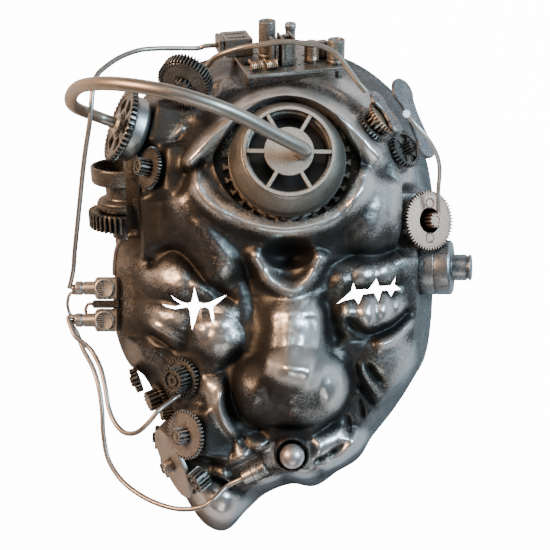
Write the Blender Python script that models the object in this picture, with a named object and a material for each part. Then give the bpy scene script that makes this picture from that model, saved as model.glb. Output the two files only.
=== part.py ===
"""A full face mask of a one-eyed old head, dressed with wheels, a lens and leads.

The mask lies on its flat rim with the face up: +X is the viewer's right, +Y the
forehead and +Z the way the face looks. Sizes are in millimetres and become
metres when a mesh is made. The face's own frame has its zero on the rim plane,
below the middle of the nose; FACE_SHIFT moves all of it so that the whole
object's box is centred over the origin.
"""
import math

import bmesh
import bpy
import numpy as np
from mathutils import Matrix, Vector
from mathutils.bvhtree import BVHTree

MM = 0.001
GAP = 0.3
FACE_SHIFT = (1.6, 3.7, 0.0)

# The shell
WALL = 2.4
SHELL_HEIGHT = 54.0
SIDE_HEIGHT = 32.0
SIDE_SHARE = 0.84
FOREHEAD_EXPONENT = 2.8
CELLS_ACROSS = 24
CELLS_UP = 34
FACET_BLUR = 2.2

# The eye
EYE_BASE = (5.4, 50.7, 64.0)
EYE_AXIS = (0.05, 0.155, 0.987)
LENS_BASE_RADIUS = 25.2
LENS_FRONT_RADIUS = 19.5
LENS_BORE_RADIUS = 18.2
LENS_HEIGHT = 12.0
SOCKET_DEPTH = 8.0
SOCKET_RADIUS = 29.2
CROWN_RADIUS = 28.4
LID_HALF_WIDTH = 32.5
LID_TOP = 26.8
LID_BOTTOM = 28.6
CROWN_PRONGS = 24
HUB_RADIUS = 10.6
SPOKE_WIDTH = 1.65
SPOKES = 6
PIPE_RADIUS = 2.9
LEAD_RADIUS = 1.15

# The drum, the spool and the wheels of the left temple
DRUM_RADIUS = 15.0
DRUM_FOOT_RADIUS = 12.0
DRUM_LENGTH = 8.2
DRUM_GEAR_RADIUS = 17.5
DRUM_GEAR_THICKNESS = 2.5
DRUM_HUB_LENGTH = 2.0
SPOOL_RADIUS = 18.0
TEMPLE_RADIUS = 9.8

# The copper wheel and the knob of the right side
COPPER_RADIUS = 13.9
KNOB_RADIUS = 13.0
KNOB_LENGTH = 13.4
KNOB_TIP_RADIUS = 6.2
KNOB_TIP_LENGTH = 9.0

# The wheels of the left cheek
UPPER_WHEEL_RADIUS = 9.4
UPPER_PINION_RADIUS = 6.0
UPPER_PINION_LENGTH = 6.2
DISC_RADIUS = 17.6
DISC_THICKNESS = 2.0
LOWER_WHEEL_RADIUS = 11.2
STAR_MIDDLE = (-26.6, -86.6, 41.0)
STAR_NORMAL = (-0.68, -0.5, 0.547)
# Wheels along the edge of the cheek as (middle, normal, radius, thickness, pinion radius, pinion length).
EDGE_WHEELS = [
    ((-66.0, -51.0, 7.0), (-0.93, -0.35, 0.12), 6.2, 3.6, 2.6, 1.2),
    ((-58.5, -60.4, 15.0), (-0.85, -0.32, 0.42), 7.0, 1.6, 5.0, 5.6),
    ((-55.0, -80.4, 6.4), (-0.99, 0.02, 0.12), 5.8, 5.6, 2.6, 1.2),
    ((-52.0, -94.5, 5.8), (-0.93, -0.35, 0.05), 5.2, 4.6, 2.6, 1.2),
]
ROLLER_SEAT = ((-52.5, -66.2, 26.0), (-0.90, -0.1, 0.42))
STAR_RADIUS = 5.2
STAR_LENGTH = 6.4


def clear_scene():
    """Removes what a new file holds."""
    for thing in list(bpy.data.objects):
        bpy.data.objects.remove(thing, do_unlink=True)


clear_scene()
root = bpy.data.objects.new("mask_frame", None)
root.location = [MM * value for value in FACE_SHIFT]
bpy.context.collection.objects.link(root)


def make_material(name, color, roughness, metallic):
    """A painted or plated finish."""
    material = bpy.data.materials.new(name)
    material.use_nodes = True
    shader = material.node_tree.nodes["Principled BSDF"]
    shader.inputs["Base Color"].default_value = (*color, 1.0)
    shader.inputs["Roughness"].default_value = roughness
    shader.inputs["Metallic"].default_value = metallic
    return material


FINISH = {
    "antique_silver": make_material("antique_silver", (0.20, 0.20, 0.19), 0.42, 0.8),
    "bright_silver": make_material("bright_silver", (0.62, 0.59, 0.53), 0.3, 0.9),
    "dark_steel": make_material("dark_steel", (0.09, 0.09, 0.09), 0.5, 0.7),
    "bronze_grey": make_material("bronze_grey", (0.36, 0.32, 0.26), 0.35, 0.9),
    "copper_wash": make_material("copper_wash", (0.42, 0.27, 0.19), 0.45, 0.8),
}


def unit(vector):
    """The vector at length one."""
    return Vector(vector).normalized()


def seat(point, normal, right=(1.0, 0.0, 0.0)):
    """A frame at a point: its Z along the normal, its X as near to right as that allows."""
    z_axis = unit(normal)
    x_axis = Vector(right) - z_axis * z_axis.dot(Vector(right))
    x_axis.normalize()
    y_axis = z_axis.cross(x_axis)
    frame = Matrix((x_axis, y_axis, z_axis)).transposed().to_4x4()
    frame.translation = Vector(point)
    return frame


def offset(frame, x=0.0, y=0.0, z=0.0):
    """The same frame moved along its own axes."""
    return frame @ Matrix.Translation((x, y, z))


def add_object(name, verts, faces, frame, finish, smooth=True):
    """One closed solid, its points in millimetres in the given frame."""
    mesh = bpy.data.meshes.new(name)
    mesh.from_pydata([[MM * value for value in point] for point in verts], [], faces)
    work = bmesh.new()
    work.from_mesh(mesh)
    bmesh.ops.remove_doubles(work, verts=work.verts, dist=0.000005)
    bmesh.ops.recalc_face_normals(work, faces=work.faces)
    work.to_mesh(mesh)
    work.free()
    mesh.materials.append(FINISH[finish])
    if smooth:
        mesh.shade_smooth()
        mesh.set_sharp_from_angle(angle=math.radians(35))
    thing = bpy.data.objects.new(name, mesh)
    bpy.context.collection.objects.link(thing)
    thing.parent = root
    place = frame.copy()
    place.translation = place.translation * MM
    thing.matrix_local = place
    return thing


def prism(outline, low, high):
    """A flat outline carried from one height to another."""
    count = len(outline)
    verts = [(x, y, low) for x, y in outline] + [(x, y, high) for x, y in outline]
    sides = [(i, (i + 1) % count, count + (i + 1) % count, count + i) for i in range(count)]
    return verts, sides + [tuple(reversed(range(count))), tuple(range(count, 2 * count))]


def ring_outline(radius, sides, turn=0.0):
    """A regular outline with its corners on the radius."""
    step = 2.0 * math.pi / sides
    return [(radius * math.cos(turn + step * i), radius * math.sin(turn + step * i)) for i in range(sides)]


def toothed_outline(tip_radius, root_radius, teeth):
    """One point at each tooth's tip and one in each gap."""
    step = math.pi / teeth
    radii = (tip_radius, root_radius)
    return [
        (radii[i % 2] * math.cos(step * i), radii[i % 2] * math.sin(step * i))
        for i in range(2 * teeth)
    ]


def turned(profile, sides, sweep=2.0 * math.pi, start=0.0):
    """A closed profile of (radius, height) points turned about Z, whole or as a part turn."""
    whole = sweep > 6.28
    steps = sides if whole else sides + 1
    verts = []
    for i in range(steps):
        angle = start + sweep * i / sides
        verts += [(r * math.cos(angle), r * math.sin(angle), z) for r, z in profile]
    count = len(profile)
    faces = []
    for i in range(sides):
        a = i * count
        b = ((i + 1) % steps) * count
        for k in range(count):
            n = (k + 1) % count
            loop = [a + k, b + k, b + n, a + n]
            if profile[k][0] < 1e-6 and profile[n][0] < 1e-6:
                continue
            if profile[k][0] < 1e-6:
                loop = [a + k, b + n, a + n]
            elif profile[n][0] < 1e-6:
                loop = [a + k, b + k, a + n]
            faces.append(tuple(loop))
    if not whole:
        faces += [tuple(range(count)), tuple(reversed(range((steps - 1) * count, steps * count)))]
    return verts, faces


def join(thing, others, operation="UNION"):
    """Adds or cuts the other solids with Boolean modifiers; they stay as hidden guides."""
    for number, other in enumerate(others):
        other.hide_render = True
        other.display_type = "WIRE"
        modifier = thing.modifiers.new(f"{operation.lower()}_{number}", "BOOLEAN")
        modifier.operation = operation
        modifier.solver = "EXACT"
        modifier.object = other


def guide(name, verts, faces, frame):
    """A hidden solid that another one is joined with or cut by."""
    return add_object(name, verts, faces, frame, "dark_steel", smooth=False)


def smooth_path(points, per_span):
    """A Catmull-Rom curve through the points, with per_span steps between two of them."""
    p = np.array(points, float)
    p = np.vstack([2 * p[0] - p[1], p, 2 * p[-1] - p[-2]])
    t = np.linspace(0.0, 1.0, per_span, endpoint=False)[:, None]
    spans = []
    for i in range(1, len(p) - 2):
        a, b, c, d = p[i - 1], p[i], p[i + 1], p[i + 2]
        spans.append(
            0.5 * (2 * b + (c - a) * t + (2 * a - 5 * b + 4 * c - d) * t**2 + (3 * b - a - 3 * c + d) * t**3)
        )
    return np.vstack(spans + [p[-2:-1]])


def even_path(points, spacing):
    """The same curve with its points an even distance apart."""
    fine = smooth_path(points, 24)
    run = np.concatenate([[0.0], np.cumsum(np.linalg.norm(np.diff(fine, axis=0), axis=1))])
    count = max(int(round(run[-1] / spacing)), 3)
    stops = np.linspace(0.0, run[-1], count + 1)
    return np.stack([np.interp(stops, run, fine[:, k]) for k in range(fine.shape[1])], axis=1)


def lead(name, points, radius, spacing, finish, end_radius=None):
    """A round tube along a smooth curve through the points, straight where it meets its two ends."""
    between = even_path(points[1:-1], spacing)
    route = [points[0], *[tuple(point) for point in between], points[-1]]
    curve = bpy.data.curves.new(name, "CURVE")
    curve.dimensions = "3D"
    curve.bevel_depth = radius * MM
    curve.bevel_resolution = 2
    curve.use_fill_caps = True
    curve.materials.append(FINISH[finish])
    spline = curve.splines.new("POLY")
    spline.points.add(len(route) - 1)
    last = radius if end_radius is None else end_radius
    for i, point in enumerate(route):
        spline.points[i].co = (*[MM * value for value in point], 1.0)
        spline.points[i].radius = 1.0 + (last / radius - 1.0) * i / (len(route) - 1)
    spline.use_smooth = True
    thing = bpy.data.objects.new(name, curve)
    bpy.context.collection.objects.link(thing)
    thing.parent = root
    return thing


EYE = seat(EYE_BASE, EYE_AXIS)

# The shell's rim seen from the front, from the crown round by the viewer's left,
# with the chin low on that side, as points about the face's middle.
FACE_MIDDLE = (0.0, -5.0)
RIM_POINTS = [
    (79.5, -5.0), (79.5, 20.0), (79.0, 42.0), (75.0, 62.0), (67.0, 82.0), (53.0, 98.0),
    (36.0, 108.5), (7.0, 115.0), (-18.0, 112.5), (-40.0, 106.0), (-60.0, 95.0), (-74.0, 78.0),
    (-79.5, 55.0), (-80.0, 12.0), (-79.0, -32.0), (-73.0, -45.0), (-66.0, -50.5), (-60.5, -60.0),
    (-55.5, -72.0), (-52.5, -87.0), (-49.0, -102.0), (-43.0, -115.0), (-34.0, -126.0), (-24.0, -128.0), (-14.0, -118.0),
    (-5.0, -110.0), (8.0, -105.0), (20.0, -106.0), (31.0, -99.0), (42.0, -92.0), (49.0, -81.0),
    (60.0, -67.0), (69.0, -53.0), (75.0, -42.0), (78.5, -22.0),
]


def rim_radius(angle):
    """The rim's distance from the face's middle, from a periodic cubic through RIM_POINTS."""
    points = np.array(RIM_POINTS) - FACE_MIDDLE
    turns = np.arctan2(points[:, 1], points[:, 0])
    radii = np.hypot(points[:, 0], points[:, 1])
    order = np.argsort(turns)
    turns, radii = turns[order], radii[order]
    turns = np.concatenate([turns[-2:] - 2 * np.pi, turns, turns[:2] + 2 * np.pi])
    radii = np.concatenate([radii[-2:], radii, radii[:2]])
    slope = np.zeros_like(radii)
    slope[1:-1] = (radii[2:] - radii[:-2]) / (turns[2:] - turns[:-2])
    a = np.mod(angle + np.pi, 2 * np.pi) - np.pi
    k = np.clip(np.searchsorted(turns, a) - 1, 1, len(turns) - 3)
    h = turns[k + 1] - turns[k]
    t = (a - turns[k]) / h
    return (
        (2 * t**3 - 3 * t**2 + 1) * radii[k]
        + (t**3 - 2 * t**2 + t) * h * slope[k]
        + (3 * t**2 - 2 * t**3) * radii[k + 1]
        + (t**3 - t**2) * h * slope[k + 1]
    )


def smoothstep(value):
    """Zero below 0, one above 1, and a soft rise between them."""
    t = np.clip(value, 0.0, 1.0)
    return t * t * (3.0 - 2.0 * t)


def bump(x, y, middle, reach_x, reach_y, rise, turn=0.0, power=1.5):
    """A rounded swelling over a turned ellipse, or a hollow where the rise is negative."""
    c, s = math.cos(math.radians(turn)), math.sin(math.radians(turn))
    dx, dy = x - middle[0], y - middle[1]
    u = (dx * c + dy * s) / (reach_x + 0.4 * FACET_BLUR)
    v = (-dx * s + dy * c) / (reach_y + 0.4 * FACET_BLUR)
    return rise * np.clip(1.0 - u * u - v * v, 0.0, 1.0) ** power


def along(x, y, points):
    """Each place's distance to a smooth path, and how far along the path it lies."""
    path = smooth_path(points, 5)
    best = np.full(x.shape, 1e9)
    where = np.zeros(x.shape)
    total = len(path) - 1
    for i in range(total):
        a, b = path[i], path[i + 1]
        d = b - a
        t = np.clip(((x - a[0]) * d[0] + (y - a[1]) * d[1]) / (d @ d), 0.0, 1.0)
        gap = (x - a[0] - t * d[0]) ** 2 + (y - a[1] - t * d[1]) ** 2
        closer = gap < best
        best = np.where(closer, gap, best)
        where = np.where(closer, (i + t) / total, where)
    return np.sqrt(best), where


def ridge(x, y, points, width, rise, taper, power):
    """A ridge along a path, or a crease where the rise is negative; thin at both ends.

    A power of 2 makes it round, a higher one flat-topped and a lower one sharp.
    """
    away, where = along(x, y, points)
    ends = smoothstep(where / taper) * smoothstep((1.0 - where) / taper)
    soft = math.hypot(width, FACET_BLUR)
    return rise * width / soft * ends * np.exp(-((away / soft) ** power))


# The carving of the face: swellings as (middle, reach x, reach y, rise, turn, power).
SWELLINGS = {
    "eye_mound": ((4.0, 52.0), 62.0, 50.0, 20.0, 0.0, 1.0),
    "pocket": ((5.9, 8.5), 12.5, 8.0, -12.0, 0.0, 1.2),
    "nose_ball": ((8.0, -52.0), 27.0, 20.5, 22.0, 0.0, 0.9),
    "left_wing": ((-13.0, -51.0), 9.0, 13.0, 4.0, 10.0, 1.5),
    "right_wing": ((27.5, -49.5), 8.5, 13.0, 4.5, -10.0, 1.5),
    "left_lid": ((-48.0, -2.5), 15.0, 10.5, 6.5, -10.0, 1.3),
    "left_lid_lobe": ((-31.5, -5.0), 6.5, 6.5, 4.0, 0.0, 1.3),
    "left_bag": ((-49.0, -20.0), 15.0, 8.5, 4.5, -15.0, 1.3),
    "left_bag_middle": ((-33.5, -20.5), 4.5, 8.5, 3.5, 0.0, 1.3),
    "left_bag_inner": ((-24.5, -17.5), 5.5, 7.0, 3.5, 0.0, 1.3),
    "left_lobe": ((-27.0, -29.0), 14.0, 12.0, 7.0, 10.0, 1.2),
    "right_lid": ((44.0, 2.0), 21.0, 9.0, 4.0, 8.0, 1.3),
    "right_lid_lobe_1": ((29.5, -4.0), 6.0, 6.0, 2.0, 0.0, 1.3),
    "right_lid_lobe_2": ((39.9, -1.6), 5.5, 6.0, 3.0, 0.0, 1.3),
    "right_lid_lobe_3": ((50.5, -0.6), 5.5, 6.0, 3.0, 0.0, 1.3),
    "right_bag": ((43.5, -18.0), 20.0, 11.5, 6.5, 10.0, 1.2),
    "right_bag_lobe_1": ((32.3, -15.5), 4.2, 7.0, 3.0, 0.0, 1.3),
    "right_bag_lobe_2": ((40.8, -15.0), 4.2, 7.5, 3.2, 0.0, 1.3),
    "right_bag_lobe_3": ((49.4, -13.5), 4.0, 7.0, 3.0, 0.0, 1.3),
    "right_bag_lobe_4": ((57.0, -11.5), 4.5, 6.0, 2.5, 0.0, 1.3),
    "right_brow": ((45.0, 26.0), 15.0, 20.0, 9.0, -15.0, 1.2),
    "right_temple": ((63.0, 24.0), 14.0, 40.0, 5.0, 4.0, 1.3),
    "left_temple": ((-54.0, 26.0), 16.0, 22.0, 3.0, 20.0, 1.3),
    "right_cheek": ((54.0, -42.0), 17.0, 18.0, 7.0, 0.0, 1.3),
    "left_cheek": ((-29.0, -58.0), 11.0, 22.0, 6.0, 12.0, 1.3),
    "wheel_patch": ((-52.0, -72.0), 16.0, 38.0, -4.0, 18.0, 1.3),
    "lips": ((10.0, -84.0), 40.0, 16.0, 12.0, 6.0, 1.2),
    "lip_lump_left": ((-3.0, -98.0), 12.0, 9.0, 6.0, 0.0, 1.5),
    "lip_lump_middle": ((13.0, -97.0), 10.0, 9.0, 6.0, 0.0, 1.5),
    "lip_lump_right": ((28.0, -90.0), 12.0, 9.0, 5.0, 25.0, 1.5),
    "lip_corner": ((37.0, -80.0), 11.0, 9.0, 4.0, 35.0, 1.5),
    "chin": ((-28.0, -107.0), 20.0, 19.0, 12.0, -35.0, 1.2),
}

# Ridges and creases as (path, width, rise, taper, power).
RIDGES = {
    "upper_lid": (
        [
            (-37, 46), (-35, 51), (-30.5, 56.5), (-24.5, 62.4), (-17.6, 68), (-12, 73), (-4, 76.5), (6, 77.8), (15.3, 75.6),
            (23, 71.8), (30.6, 66.6), (38.2, 59.6), (45.2, 52.6), (50, 48),
        ],
        4.6, 9.5, 0.09, 2.0,
    ),
    "upper_lid_back": ([(-38, 62), (-28, 73), (-14, 83), (6, 87), (24, 82), (38, 72), (50, 58)], 4.0, -3.0, 0.2, 2.0),
    "lower_lid": (
        [
            (-34.5, 44.5), (-32, 36.5), (-26, 29.5), (-16.5, 23.6), (-5, 19.8), (6, 18.8), (17, 20.8), (27, 25.3),
            (33.5, 32.5), (38.6, 42), (40, 49),
        ],
        3.6, 7.5, 0.08, 2.0,
    ),
    "lid_corner": ([(-42, 44), (-36, 46), (-29, 50)], 1.4, -3.5, 0.25, 1.3),
    "left_gutter": (
        [(-42, 43), (-35.5, 32), (-27, 21), (-18, 12.5), (-13, 4), (-11, -6), (-9.5, -18), (-11, -30)],
        3.0, -5.5, 0.12, 1.4,
    ),
    "right_gutter": ([(16, 14), (25, 15.5), (34, 21), (41, 31), (45, 41)], 3.6, -3.5, 0.2, 2.0),
    "pocket_rim": (
        [(-10.8, 14), (-8.4, 7.6), (-5.6, 2.4), (-0.4, -3.8), (7.2, -6), (13.6, -3.2), (17.8, 2.6), (20, 7.6), (21.8, 12)],
        3.0, 7.0, 0.1, 2.0,
    ),
    "nose_bridge": ([(8.7, -4), (8.7, -16), (8.4, -28), (7.2, -40), (6.6, -52)], 10.0, 13.0, 0.25, 3.2),
    "bridge_hollow": ([(8.4, -12), (8.2, -24), (7.6, -38)], 3.6, -1.4, 0.3, 2.0),
    "left_brow_fold": ([(-47, 41), (-40, 26), (-32, 13.5), (-24.5, 4.5), (-17, -3.5)], 8.2, 9.5, 0.18, 2.2),
    "left_socket_crease": (
        [(-59, 1), (-56, 7), (-51, 10.5), (-44.8, 11.2), (-39.5, 7), (-32.2, -2), (-24.5, -8), (-15, -13.5)],
        2.4, -7.0, 0.12, 1.3,
    ),
    "left_bag_edge": ([(-60, -20.5), (-49, -26.6), (-40, -32)], 2.2, 3.0, 0.25, 2.0),
    "left_bag_crease": ([(-62, -25), (-52, -31), (-43, -36.5), (-37.5, -39.5)], 2.0, -4.5, 0.2, 1.3),
    "left_lobe_crease": ([(-36, -43.5), (-29, -45), (-23, -42.5), (-18, -37), (-13.5, -32)], 1.9, -3.5, 0.2, 1.3),
    "nose_border": (
        [
            (-12, -31), (-16.2, -36.5), (-19.2, -44), (-19.8, -53), (-17.4, -62), (-11, -69.4), (-1, -73), (10, -73.6),
            (21, -71.4), (29.4, -65.4), (34.2, -57), (35.6, -48.6), (33.6, -41), (29.6, -34.5),
        ],
        2.2, -5.5, 0.08, 1.4,
    ),
    "left_cheek_fold": ([(-22.4, -47.5), (-24.7, -56.2), (-22, -66.3), (-14.5, -76.5)], 2.4, 3.5, 0.2, 2.0),
    "left_cheek_crease": ([(-33, -50), (-31, -64), (-25.5, -75), (-17.5, -83.5)], 2.0, -4.0, 0.2, 1.3),
    "left_mouth_crease": ([(-16, -69), (-14, -76), (-8, -81), (-3, -81)], 1.8, -3.0, 0.25, 1.3),
    "right_bag_crease": ([(31, -17.5), (35, -22.5), (42, -27), (51, -25), (58.6, -20.2), (64.5, -13.5)], 2.2, -7.0, 0.14, 1.3),
    "right_cheek_edge": ([(44, -32), (51, -30), (58, -26), (66, -19.5)], 2.6, 4.5, 0.22, 2.0),
    "right_nose_valley": ([(21, -7), (24, -16), (26.5, -25), (28.5, -34)], 4.2, -6.0, 0.2, 1.7),
    "right_brow_crease": ([(24, 9), (34, 9.5), (45, 9), (56, 12), (66, 18)], 2.6, -3.0, 0.25, 1.6),
    "right_fold_1": ([(37.5, -37), (40.5, -45), (47, -54), (54, -62)], 1.7, 2.4, 0.3, 2.0),
    "right_wrinkle_1": ([(41.4, -39), (45, -45), (51.5, -52)], 1.5, -3.5, 0.3, 1.4),
    "right_wrinkle_2": ([(36.9, -47), (42.5, -56), (49, -65)], 1.6, -3.8, 0.3, 1.4),
    "right_wrinkle_3": ([(38.2, -55), (40.5, -62), (42, -71)], 1.5, -3.5, 0.3, 1.4),
    "right_wrinkle_4": ([(33, -63), (34.5, -70), (34, -76)], 1.5, -2.5, 0.3, 1.4),
    "lip_crease_right": ([(15.5, -85.5), (21, -84), (28, -80.5), (36, -75)], 2.0, -4.0, 0.25, 1.3),
    "lip_crease_left": ([(-22, -88), (-13, -93.5), (-5, -91.5), (3, -91), (11, -91)], 1.9, -3.5, 0.2, 1.3),
    "lip_gap_1": ([(4.5, -92), (5, -98), (4.5, -104)], 1.6, -3.0, 0.3, 1.4),
    "lip_gap_2": ([(20.5, -88), (22, -94), (23, -101)], 1.6, -3.0, 0.3, 1.4),
    "chin_crease": ([(-44, -93), (-34, -93), (-22, -96), (-12, -104)], 2.0, -4.5, 0.2, 1.3),
    "temple_fold": ([(-39, 70), (-44.5, 64), (-50, 57)], 1.9, 3.4, 0.3, 2.0),
}


def relief(x, y):
    """How far the carving stands over the plain dome."""
    z = np.zeros_like(x)
    for middle, reach_x, reach_y, rise, turn, power in SWELLINGS.values():
        z += bump(x, y, middle, reach_x, reach_y, rise, turn, power)
    for points, width, rise, taper, power in RIDGES.values():
        z += ridge(x, y, points, width, rise, taper, power)
    return z


# The flat seats for what is glued on: (middle, normal, right, half size x, half size y).
BOARD_MIDDLE = (4.8, 99.3, 20.8)
BOARD_NORMAL = (0.0, 0.85, 0.52)
BOARD_RIGHT = (0.967, 0.12, -0.22)
DRUM_MIDDLE = (-61.5, 65.7, 39.0)
DRUM_NORMAL = (-0.86, 0.27, 0.43)
SPOOL_AXIS = (0.0, 0.94, 0.34)
SPOOL_NORMAL = (-0.985, -0.0579, 0.1602)
SPOOL_MIDDLE = (-64.0, 28.0, 29.5)
PLUG_NORMAL = (-1.0, 0.0, 0.0)
CREST_MIDDLE = (-39.7, 81.5, 41.5)
CREST_UP = (0.145, 0.65, 0.745)
CREST_RIGHT = (0.9, -0.4, 0.0)
PADS = {
    "board": (BOARD_MIDDLE, BOARD_NORMAL, BOARD_RIGHT, 25.0, 19.0),
    "drum": (DRUM_MIDDLE, DRUM_NORMAL, (0.0, 1.0, 0.0), 14.0, 13.0),
    "spool": ((-63.8, 36.0, 31.0), SPOOL_NORMAL, SPOOL_AXIS, 22.0, 16.5),
    "temple_gear": ((-53.0, 47.2, 51.5), (-0.80, 0.10, 0.59), (0.0, 1.0, 0.0), 9.0, 8.0),
    "crest_post": (CREST_MIDDLE, CREST_UP, CREST_RIGHT, 8.0, 9.0),
    "link_front": ((43.2, 66.0, 49.5), (0.62, 0.52, 0.585), (0.5, -0.85, 0.2), 6.0, 6.0),
    "link_back": ((57.5, 57.0, 37.5), (0.65, 0.275, 0.71), (0.4, -0.9, 0.0), 6.0, 6.0),
    "copper": ((67.0, 25.3, 28.0), (0.5, 0.0, 0.866), (0.0, 1.0, 0.0), 13.0, 12.0),
    "bolt": ((70.5, 3.6, 20.0), (0.957, 0.0, 0.29), (0.0, 1.0, 0.0), 13.0, 13.0),
    "plugs": ((-72.0, -14.0, 20.0), PLUG_NORMAL, (0.0, 1.0, 0.0), 14.5, 8.0),
    "mouth_cup": ((7.1, -79.3, 45.0), (0.05, -0.12, 0.99), (1.0, 0.0, 0.0), 8.5, 8.5),
    "mouth_jack": ((-9.0, -88.0, 42.0), (0.0, -0.15, 0.99), (0.88, 0.47, 0.0), 10.0, 4.0),
    "cheek_upper": ((-41.2, -46.7, 42.4), (-0.58, -0.11, 0.80), (0.0, 1.0, 0.0), 9.0, 9.0),
    "cheek_disc": ((-46.4, -88.4, 27.0), (-0.845, -0.36, 0.40), (0.0, 1.0, 0.0), 14.0, 14.0),
    "cheek_lower": ((-37.3, -71.6, 47.0), (-0.652, -0.035, 0.76), (0.0, 1.0, 0.0), 9.0, 8.0),
}
PAD_MARGIN = 5.0
PAD_REACH = 16.0


def flatten(points, drop=0.0):
    """Moves the places near each seat onto its plane, lowered by drop, fading over a margin."""
    for middle, normal, right, half_x, half_y in PADS.values():
        frame = np.array(seat(middle, normal, right).to_3x3())
        q = points - np.array(middle)
        u, v, w = (q @ frame[:, k] for k in range(3))
        w = w + drop
        share = smoothstep((half_x + PAD_MARGIN - np.abs(u)) / PAD_MARGIN)
        share = share * smoothstep((half_y + PAD_MARGIN - np.abs(v)) / PAD_MARGIN)
        share = share * smoothstep((PAD_REACH + 4.0 - np.abs(w)) / 4.0)
        points = points - (share * w)[:, None] * frame[:, 2]
    return points


def keep_under_socket(points):
    """Presses the inner face down under the floor of the eye's socket."""
    q = (points - np.array(EYE_BASE)) @ np.array(EYE.to_3x3())
    floor = -(SOCKET_DEPTH + WALL)
    reach = smoothstep((np.hypot(q[:, 0] / 1.25, q[:, 1]) - SOCKET_RADIUS - 3.0) / 5.0)
    too_high = np.maximum(q[:, 2] - floor, 0.0) * (1.0 - reach)
    return points - too_high[:, None] * np.array(unit(EYE_AXIS))


def grid_to_disc(a, b):
    """Concentric squares to circles: each place's share of the radius and its angle."""
    wide = np.abs(a) >= np.abs(b)
    safe_a = np.where(np.abs(a) < 1e-9, 1e-9, a)
    safe_b = np.where(np.abs(b) < 1e-9, 1e-9, b)
    radius = np.where(wide, a, b)
    angle = np.where(wide, np.pi / 4 * b / safe_a, np.pi / 2 - np.pi / 4 * a / safe_b)
    angle = np.where((np.abs(a) < 1e-9) & (np.abs(b) < 1e-9), 0.0, angle)
    angle = np.where(radius < 0.0, angle + np.pi, angle)
    return np.abs(radius), angle


WALL_STEPS_SHARE = 0.22


def dome(share, angle, wall):
    """The plain shell: a slanting side up to SIDE_HEIGHT, then a low dome; wall is taken off."""
    on_side = np.clip((share - (1.0 - WALL_STEPS_SHARE)) / WALL_STEPS_SHARE, 0.0, 1.0)
    on_dome = np.clip(share / (1.0 - WALL_STEPS_SHARE), 0.0, 1.0)
    reach = np.where(share > 1.0 - WALL_STEPS_SHARE, SIDE_SHARE + (1.0 - SIDE_SHARE) * on_side, SIDE_SHARE * on_dome)
    rise = SHELL_HEIGHT - SIDE_HEIGHT
    top = SIDE_HEIGHT + rise * (1.0 - on_dome**FOREHEAD_EXPONENT)
    z = np.where(share > 1.0 - WALL_STEPS_SHARE, SIDE_HEIGHT * (1.0 - on_side), top)
    z = z * (SHELL_HEIGHT - wall) / SHELL_HEIGHT
    radius = reach * (rim_radius(angle) - wall)
    x = FACE_MIDDLE[0] + radius * np.cos(angle)
    y = FACE_MIDDLE[1] + radius * np.sin(angle)
    return x, y, z, reach


def shell_points(a, b, wall=0.0):
    """The shell's outer face at grid places a, b, or its inner face where wall isn't zero."""
    share, angle = grid_to_disc(a, b)
    x, y, z, reach = dome(share, angle, wall)
    if wall:
        lowest = relief(x, y)
        for ring in (2.5, 5.0):
            for turn in np.linspace(0.0, 2.0 * np.pi, 8, endpoint=False):
                lowest = np.minimum(lowest, relief(x + ring * np.cos(turn), y + ring * np.sin(turn)))
        carved = np.minimum(lowest, 26.0)
    else:
        carved = relief(x, y)
    carved = np.maximum(carved * smoothstep((1.0 - reach) / 0.14), -0.5 * z)
    points = flatten(np.stack([x, y, z + carved], axis=1), wall)
    if wall:
        points = keep_under_socket(points)
    points[:, 2] = np.where(share > 1.0 - 1e-9, 0.0, np.maximum(points[:, 2], 0.4 * (1.0 - share)))
    rim = share > 1.0 - 1e-9
    points[rim, 0] = x[rim]
    points[rim, 1] = y[rim]
    return points


def shell_mesh():
    """Outer face at full grid, inner face at half of it, and the flat rim between them."""
    def grid(count_x, count_y, wall):
        a, b = np.meshgrid(np.linspace(-1, 1, count_x + 1), np.linspace(-1, 1, count_y + 1), indexing="ij")
        return shell_points(a.ravel(), b.ravel(), wall)

    outer = grid(CELLS_ACROSS, CELLS_UP, 0.0)
    half_x, half_y = CELLS_ACROSS // 2, CELLS_UP // 2
    inner = grid(half_x, half_y, WALL)
    first = len(outer)

    def at_outer(i, j):
        return i * (CELLS_UP + 1) + j

    def at_inner(i, j):
        return first + i * (half_y + 1) + j

    faces = []
    for i in range(CELLS_ACROSS):
        for j in range(CELLS_UP):
            faces.append((at_outer(i, j), at_outer(i + 1, j), at_outer(i + 1, j + 1), at_outer(i, j + 1)))
    for i in range(half_x):
        for j in range(half_y):
            faces.append((at_inner(i, j), at_inner(i, j + 1), at_inner(i + 1, j + 1), at_inner(i + 1, j)))
    edge = [(i, 0) for i in range(half_x)] + [(half_x, j) for j in range(half_y)]
    edge += [(i, half_y) for i in range(half_x, 0, -1)] + [(0, j) for j in range(half_y, 0, -1)]
    for k, (i, j) in enumerate(edge):
        m, n = edge[(k + 1) % len(edge)]
        middle = at_outer(i + m, j + n)
        faces.append((at_inner(i, j), at_inner(m, n), at_outer(2 * m, 2 * n), middle, at_outer(2 * i, 2 * j)))
    verts = np.vstack([outer, inner])
    triangles = []
    for face in faces:
        if len(face) == 4 and np.linalg.norm(verts[face[0]] - verts[face[2]]) > np.linalg.norm(
            verts[face[1]] - verts[face[3]]
        ):
            face = face[1:] + face[:1]
        triangles += [(face[0], face[k], face[k + 1]) for k in range(1, len(face) - 1)]
    return verts, triangles


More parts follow.
